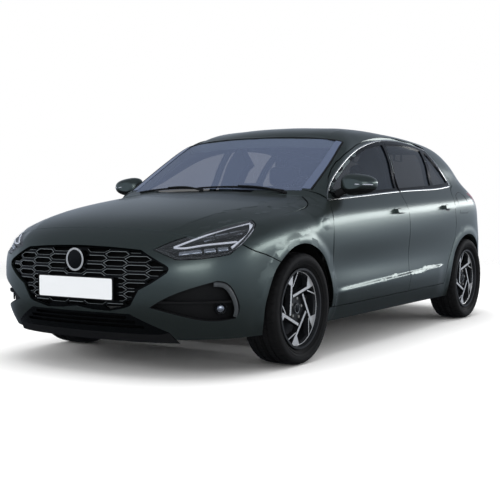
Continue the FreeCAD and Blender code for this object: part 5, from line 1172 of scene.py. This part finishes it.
# Body details: fuel flap, wipers, roof antenna, reflectors
flapLine = outlineOf([[(1205, 838), (1372, 838)], [(1372, 838), (1384, 850), (1384, 960)],
                      [(1384, 960), (1376, 975), (1215, 975)],
                      [(1215, 975), (1203, 966), (1203, 850)], [(1203, 850), (1205, 838)]], 10)
path = chart("side", flapLine, -0.55)
points, faces = righted(*sweepArrays(path, formNormal(path),
                                     [(-1.6, -1), (-1.6, 0.25), (1.6, 0.25), (1.6, -1)], closed=True))
newObject("fuel_flap_gap", points, faces, mats["seam"], "body", slotName="black_plastic")


def wiper(name, pivot, bladeStart, bladeEnd, view, body, liftBy=14.0):
    line = smoothLine([bladeStart, ((bladeStart[0] + bladeEnd[0]) / 2, (bladeStart[1] + bladeEnd[1]) / 2 - 2),
                       bladeEnd], 25)
    path = chart(view, line, -liftBy * 0.45)
    profile = [(-6, -4.5), (-2, -4.5), (-1, -1), (-6.5, 1), (-5, 4), (0, 6.5), (5, 4), (6.5, 1), (1, -1),
               (2, -4.5)]
    parts = [sweepArrays(path, formNormal(path), profile)]
    middle = path[len(path) // 2]
    foot = chart(view, [pivot], -6.0)[0]
    knee = (foot * 0.72 + middle * 0.28) + formNormal(np.array([foot]))[0] * 14
    arm = smoothLine([foot, knee, middle + formNormal(np.array([middle]))[0] * 8], 20)
    parts.append(sweepArrays(arm, formNormal(arm), [(-7, -3), (-7, 2), (-3, 4), (3, 4), (7, 2), (7, -3)]))
    parts += facing([latheArrays([(-14, 14), (2, 14), (8, 11), (10, 0.01)], 20)], foot,
                    tuple(formNormal(np.array([foot]))[0]))
    place(name, parts, mats["plastic"], body, slotName="black_plastic")


wiper("wiper_driver", (575, -945), (560, -926), (-30, -998), "top", "body")
wiper("wiper_passenger", (20, -1036), (10, -1010), (-560, -932), "top", "body")
wiper("wiper_rear", (0, 0.700 * tall), (20, 0.712 * tall), (330, 0.722 * tall), "back", "tailgate", 12.0)

finLine = [(along(1.095), 0.0), (along(1.115), 10), (along(1.16), 34), (along(1.205), 52), (along(1.232), 56),
           (along(1.240), 50), (along(1.236), 26),
           (along(1.245), 0.0)]
finLine = smoothLine([(y, 1.5 + roofLine([y])[0] + h) for y, h in finLine], 8)
finLine[:, 1] = np.minimum(finLine[:, 1], 1452)
fin = []
for share, inset in ((0.0, 0.0), (0.55, 1.5), (1.0, 6.0)):
    line = grown(np.vstack([finLine]), -inset)
    fin.append(np.c_[np.full(len(line), 1.0), line])
count = len(finLine)
rise = np.clip((finLine[:, 1] - finLine[:, 1].min()) / 56, 0, 1)
halfWide = 26 * (1 - rise) ** 0.8 + 3.2
finPoints = np.vstack([np.c_[-halfWide, grown(finLine, -2)], np.c_[-halfWide * 0.35, finLine],
                       np.c_[halfWide * 0.35, finLine], np.c_[halfWide, grown(finLine, -2)]])
finFaces = [tuple(range(count)), tuple(range(3 * count, 4 * count))]
for band in range(3):
    finFaces += [(band * count + k, band * count + (k + 1) % count, (band + 1) * count + (k + 1) % count,
                  (band + 1) * count + k) for k in range(count)]
place("roof_antenna", [(finPoints, finFaces)], mats["gloss"], "body", slotName="black_plastic", sharp=50)

reflector = smoothLine([(430, 0.250 * tall), (600, 0.258 * tall), (690, 0.268 * tall)], 14)
path = chart("back", reflector, -0.6)
points, faces = righted(*sweepArrays(path, formNormal(path),
                                     [(-11, -2), (-11, 1), (-8, 2.5), (8, 2.5), (11, 1), (11, -2)]))
bothSides("rear_reflector", points, faces, mats["red"], ("body", "body"), slotName="red_lens")
diffuser = np.array([(-0.60, 0.150), (-0.52, 0.232), (-0.36, 0.262), (0.36, 0.262), (0.52, 0.232),
                     (0.60, 0.150)]) * (half, tall)
points, faces, normals = sheetArrays("back", diffuser, (), 0.9, 3.0, 26)
newObject("rear_apron", points, faces, mats["plastic"], "body", normals, slotName="black_plastic")
# dark sheets behind the front and rear shut gaps: painted shade, so that the gaps show shade rather than the
# backdrop
shutGapShades = [roundedBox((743, -948, 560), (746, -882, 880), 1, 1),
               roundedBox((700, 1780, 600), (703, 1880, 705), 1, 1)]
place("shut_gap_shade_left", shutGapShades, mats["shade"], "body", slotName="black_plastic",
      mirror=("shut_gap_shade_right", "body"))
# a darker oval sheet under each door handle: painted shade for the shadow in the handle's hollow bowl
for part, y, z in (("front", along(0.506), 0.592 * tall), ("rear", along(0.830), 0.609 * tall)):
    bowl = np.array([(y + 6 + 46 * math.cos(t),
                      z - 8 + 27 * math.sin(t)) for t in np.linspace(0, math.tau, 41)[:-1]])
    points, faces, normals = sheetArrays("side", bowl, (), 0.9, 1.5, 12)
    bothSides("handle_bowl_shade_" + part, points, faces, mats["handleShade"], doorPairs[part], normals,
              slotName="body_paint")
print("body details made")


# Cabin: cushioned seats, dashboard with screen, round rim, door cards
seatLook = {"front": 359.0, "wide": 502.6}


def cushion(name, low, high, body, crown, turnAt=None, degrees=0.0, channels=(), wingWide=0.0):
    # a crowned pad with rounded sides, sewn channels across and raised side bolsters
    low, high = np.array(low, float), np.array(high, float)
    bm = bmesh.new()
    bmesh.ops.create_cube(bm, size=2)
    bmesh.ops.subdivide_edges(bm, edges=list(bm.edges), cuts=23, use_grid_fill=True)
    middle, reach = (low + high) / 2, (high - low) / 2
    for vertex in bm.verts:
        p = np.array(vertex.co)
        power = 5.0
        scale = (np.abs(p)**power).sum() ** (-1 / power)
        p = p * max(scale, 0.0)
        u, v, w = p
        top = max(0.0, w)
        shape = (1 - abs(u)**3) * (1 - abs(v)**3)
        q = p * reach
        q[2] += top * crown * (shape - 0.6)
        if wingWide:
            q[2] += top * crown * 1.5 * ease((abs(u) - 0.52) / 0.2) * (1 - ease((abs(u) - 0.86) / 0.14))
        for place_, axis in channels:
            q[2] -= top * 5.0 * math.exp(-((p[axis] - place_) / 0.018) ** 2)
        if abs(w) < 0.25:
            q[:2] *= 1 + 0.008 * math.cos(w * 25)
        vertex.co = Vector(middle + q)
    bm.verts.index_update()
    points, faces = np.array([v.co for v in bm.verts]), [tuple(v.index for v in f.verts) for f in bm.faces]
    bm.free()
    if turnAt is not None:
        points = turnedAbout(points, np.array(turnAt, float), (1, 0, 0), degrees)
    obj = newObject(name, points, faces, mats["cloth"], body, slotName="seat_cloth")
    return obj


def backPad(name, x, wide, yBack, thick, zLow, zHigh, pivotY, pivotZ, lean, body, crown, channels, wings):
    # the pad is made lying on its back, stood up, then leaned
    obj = cushion(name, (x - wide / 2, 0, 0), (x + wide / 2, zHigh - zLow, thick), body, crown, None, 0,
                  channels, wings)
    mesh = obj.data
    for vertex in mesh.vertices:
        px, py, pz = np.array(vertex.co) * 1000
        q = turnedAbout(np.array([[px, yBack - pz, zLow + py]]), np.array([x, pivotY, pivotZ]), (1, 0, 0),
                        -lean)[0]
        vertex.co = Vector(q / 1000)
    mesh.flip_normals()
    return obj


seatFoot = along(0.455)
for x, side in ((seatLook["front"], "left"), (-seatLook["front"], "right")):
    wide = seatLook["wide"]
    cushion("seat_cushion_" + side, (x - wide / 2, seatFoot, 0.24 * tall + 6),
                        (x + wide / 2, seatFoot + 500, 0.36 * tall), "body",
                        18, None, 0, ((-0.50, 0), (0.50, 0), (0.1, 1), (-0.55, 1)), 1.0)
    backPad("seat_back_" + side, x, wide - 10, seatFoot + 571, 128, 0.31 * tall, 0.715 * tall,
                        seatFoot + 503.5, 0.31 * tall, 18, "body",
                        14, ((-0.50, 0), (0.50, 0), (-0.3, 1), (0.35, 1)), 1.0)
    cushion("seat_head_rest_" + side, (x - 132, seatFoot + 649, 0.725 * tall),
                        (x + 132, seatFoot + 756, 0.829 * tall), "body", 5)
    rails = [roundedBox((x + sx * 190 - 14, seatFoot + 50, 231), (x + sx * 190 + 14, seatFoot + 450, 262),
                        5) for sx in (-1, 1)]
    rails += [roundedBox((x - 205, seatFoot + 60, 262), (x + 205, seatFoot + 440, 0.245 * tall + 8), 14)]
    place("seat_rails_" + side, rails, mats["trim"], "body", slotName="soft_trim")
    posts = [tubeArrays(smoothLine([(x + sx * 62, seatFoot + 690, 0.69 * tall),
                                    (x + sx * 62, seatFoot + 702, 0.76 * tall)], 20), 6,
                                    12) for sx in (-1, 1)]
    place("head_rest_posts_" + side, posts, mats["pipe"], "body")
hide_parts("front_seats")
bench = cushion("bench_cushion", (-0.615 * half, along(0.780) + 2, 0.2855 * tall + 4),
                (0.615 * half, along(0.905), 0.385 * tall), "body", 16, None, 0,
                ((-0.33, 0), (0.33, 0), (0.0, 1)), 0)
backPad("bench_back", 0, 0.615 * half * 2 - 6, along(0.935), 104, 0.315 * tall + 4, 0.70 * tall,
        along(0.895), 0.315 * tall, 20, "body", 14, ((-0.33, 0), (0.33, 0), (0.2, 1)), 0)
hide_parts("rear_bench")
print("seats made")

screenParts = [roundedBox((-120, along(0.300) - 8, 0.632 * tall),
                          (120, along(0.300) + 12, 0.632 * tall + 128), 6)]
clusterHood = [roundedBox((250, along(0.262), 0.640 * tall), (470, along(0.300), 0.640 * tall + 88), 22, 4)]
ventParts = [roundedBox((x - 70, along(0.3085) - 6, 0.585 * tall),
                        (x + 70, along(0.3085) + 5, 0.585 * tall + 52), 6) for x in (-560, -190, 190, 560)]
place("centre_screen", screenParts, mats["gloss"], "body", slotName="soft_trim")
place("instrument_hood", clusterHood, mats["trim"], "body", slotName="soft_trim")
place("dashboard_vents", ventParts, mats["plastic"], "body", slotName="soft_trim")

wheelCentre = np.array([0.40 * half, along(0.385), 0.625 * tall])
wheelAxis = np.array([0, 0.93, 0.37]) / math.hypot(0.93, 0.37)
turns = np.linspace(0, math.tau, 97)[:-1]
ringPath = np.array([(0, 185.5 * math.sin(t), 185.5 * math.cos(t)) for t in turns])
matrix = np.array(Vector((1, 0, 0)).rotation_difference(Vector(wheelAxis)).to_matrix())
ringPath = ringPath @ matrix.T + wheelCentre
profile = [(14.5 * math.cos(math.tau * k / 14), 15.5 * math.sin(math.tau * k / 14)) for k in range(14)]
steering = [sweepArrays(ringPath, np.tile(wheelAxis, (len(ringPath), 1)), profile, closed=True)]
place("steering_rim_leather", steering, mats["trim"], "steering_wheel", slotName="grained_rim")
airbag = facing([latheArrays([(-6, 0.01), (-6, 66), (6, 72), (16, 66), (22, 40), (23, 0.01)], 48)],
                wheelCentre, tuple(wheelAxis))
place("steering_pad", airbag, mats["trim"], "steering_wheel", slotName="grained_rim")

cardFront = outlineOf(strokesAt([[(0.190, 0.640), (0.540, 0.664)],
                                 [(0.540, 0.664), (0.535, 0.480), (0.540, 0.262)],
                                 [(0.540, 0.262), (0.185, 0.255)],
                                 [(0.185, 0.255), (0.190, 0.640)]]), 30)
cardRear = outlineOf(strokesAt([[(0.590, 0.668), (0.880, 0.690)],
                                [(0.880, 0.690), (0.868, 0.520), (0.845, 0.420), (0.800, 0.262)],
                                [(0.800, 0.262), (0.592, 0.262)],
                                [(0.592, 0.262), (0.590, 0.668)]]), 30)
for part, card in (("front", cardFront), ("rear", cardRear)):
    flat, faces = flatMesh(card, (), 40)
    points = chart("side", flat, 97.0)
    normals = -formNormal(points)
    corners = points[faces]
    turnSign = (np.cross(corners[:, 1] - corners[:, 0],
                         corners[:, 2] - corners[:, 0]) * normals[faces[:, 0]]).sum(1)
    faces = [tuple(f) if t > 0 else tuple(f[::-1]) for f, t in zip(faces, turnSign)]
    bothSides("door_card_" + part, points, faces, mats["trim"], doorPairs[part], normals,
              slotName="soft_trim")
print("cabin made")


# Stage, lights and camera
stageLook = {"floor": "f4f4f4", "fill": 0.8, "mirrored": 0.85, "sky": "cdd8ea", "ceiling": 0.28,
             "ground": 0.1, "fade": (5.5, 9.5)}
floorMaterial, tree, shader = newMaterial("matt white studio floor", Base_Color=stageLook["floor"],
                                          Roughness=0.9,
                                          Specular_IOR_Level=0.0)
# the floor ends in the white of the backdrop, and the lacquer mirrors the darker room instead of it
far = addNode(tree, "ShaderNodeVectorMath", {"operation": "LENGTH"}, i0=objectPoint(tree))
fade = addNode(tree, "ShaderNodeMapRange",
               {"From Min": stageLook["fade"][0], "From Max": stageLook["fade"][1]}, i0=far.outputs["Value"])
mirrored = addNode(tree, "ShaderNodeLightPath")
fade = addNode(tree, "ShaderNodeMath", {"operation": "MAXIMUM"}, i0=fade.outputs["Result"],
               i1=mirrored.outputs["Is Glossy Ray"])
through = addNode(tree, "ShaderNodeBsdfTransparent")
meeting = addNode(tree, "ShaderNodeMixShader", i0=fade.outputs["Value"], i1=shader.outputs["BSDF"],
                  i2=through.outputs["BSDF"])
tree.links.new(meeting.outputs["Shader"], tree.nodes["Material Output"].inputs["Surface"])
bpy.ops.mesh.primitive_plane_add(size=60)
floor = bpy.context.object
floor.name = "studio_floor"
floor.data.materials.append(floorMaterial)
world = bpy.data.worlds.new("studio")
scene.world = world
world.use_nodes = True
tree = world.node_tree
background = tree.nodes["Background"]
path = addNode(tree, "ShaderNodeLightPath")
# what the paint and the glass mirror: a bright wall all round between a dim ceiling and dark ground
way = addNode(tree, "ShaderNodeSeparateXYZ", i0=addNode(tree, "ShaderNodeTexCoord").outputs["Generated"])
above = addNode(tree, "ShaderNodeMapRange", {"From Min": 0.1, "From Max": 0.62, "To Min": 1.0,
                                             "To Max": stageLook["ceiling"]}, i0=way.outputs["Z"])
under = addNode(tree, "ShaderNodeMapRange", {"From Min": -0.3, "From Max": 0.05,
                                             "To Min": stageLook["ground"], "To Max": 1.0},
                                             i0=way.outputs["Z"])
wall = addNode(tree, "ShaderNodeMath", {"operation": "MULTIPLY"}, i0=above.outputs["Result"],
               i1=under.outputs["Result"])
mirror = addNode(tree, "ShaderNodeMapRange", {"To Max": stageLook["mirrored"]}, i0=wall.outputs["Value"])
seen = addNode(tree, "ShaderNodeMath", {"operation": "MAXIMUM"}, i0=path.outputs["Is Camera Ray"],
               i1=path.outputs["Is Transmission Ray"])
plain = addNode(tree, "ShaderNodeMapRange", {"To Min": stageLook["fill"], "To Max": 1.0},
                i0=seen.outputs["Value"])
strength = addNode(tree, "ShaderNodeMix", {"data_type": "FLOAT"}, Factor=path.outputs["Is Glossy Ray"],
                   A=plain.outputs["Result"],
                   B=mirror.outputs["Result"])
sky = addNode(tree, "ShaderNodeMix", {"data_type": "RGBA"}, Factor=path.outputs["Is Glossy Ray"])
sky.inputs["A"].default_value = (1, 1, 1, 1)
sky.inputs["B"].default_value = hexColour(stageLook["sky"])
tree.links.new(sky.outputs["Result"], background.inputs["Color"])
tree.links.new(strength.outputs["Result"], background.inputs["Strength"])

cameraLook = {"azimuth": 32.7439, "elevation": 2.70703, "place": (3.48039, -5.85106, 0.89590), "lens": 67.67}
turn, lift = math.radians(cameraLook["azimuth"]), math.radians(cameraLook["elevation"])
backWay = Vector((math.sin(turn) * math.cos(lift), -math.cos(turn) * math.cos(lift), math.sin(lift)))
cameraData = bpy.data.cameras.new("photo_view")
camera = bpy.data.objects.new("photo_view", cameraData)
scene.collection.objects.link(camera)
camera.location = cameraLook["place"]
camera.rotation_mode = "QUATERNION"
camera.rotation_quaternion = (-backWay).to_track_quat("-Z", "Y")
cameraData.sensor_width, cameraData.lens, cameraData.clip_end = 36, cameraLook["lens"], 200
scene.camera = camera


def softLight(name, place, aim, size, power, mirrored=True):
    data = bpy.data.lights.new(name, "AREA")
    data.shape, data.size, data.size_y, data.energy = "RECTANGLE", size[0], size[1], power
    lamp = bpy.data.objects.new(name, data)
    scene.collection.objects.link(lamp)
    lamp.location = place
    lamp.rotation_mode = "QUATERNION"
    lamp.rotation_quaternion = (Vector(aim) - Vector(place)).to_track_quat("-Z", "Y")
    lamp.visible_glossy = mirrored


softLight("overhead_softbox", (0.0, 0.2, 5.2), (0, 0, 0.4), (4, 8), 300, False)
softLight("front_softbox", (-3.0, -7.0, 3.0), (0, -1, 0.6), (4, 1.6), 110, False)
softLight("side_strip", (6.0, 7.0, 2.5), (0.4, 1.0, 0.7), (12, 1.4), 270)
softLight("front_strip", (6.0, -8.0, 2.4), (0.6, -1.8, 0.6), (6, 1.4), 90)
scene.view_settings.view_transform = "Standard"
print("stage made")
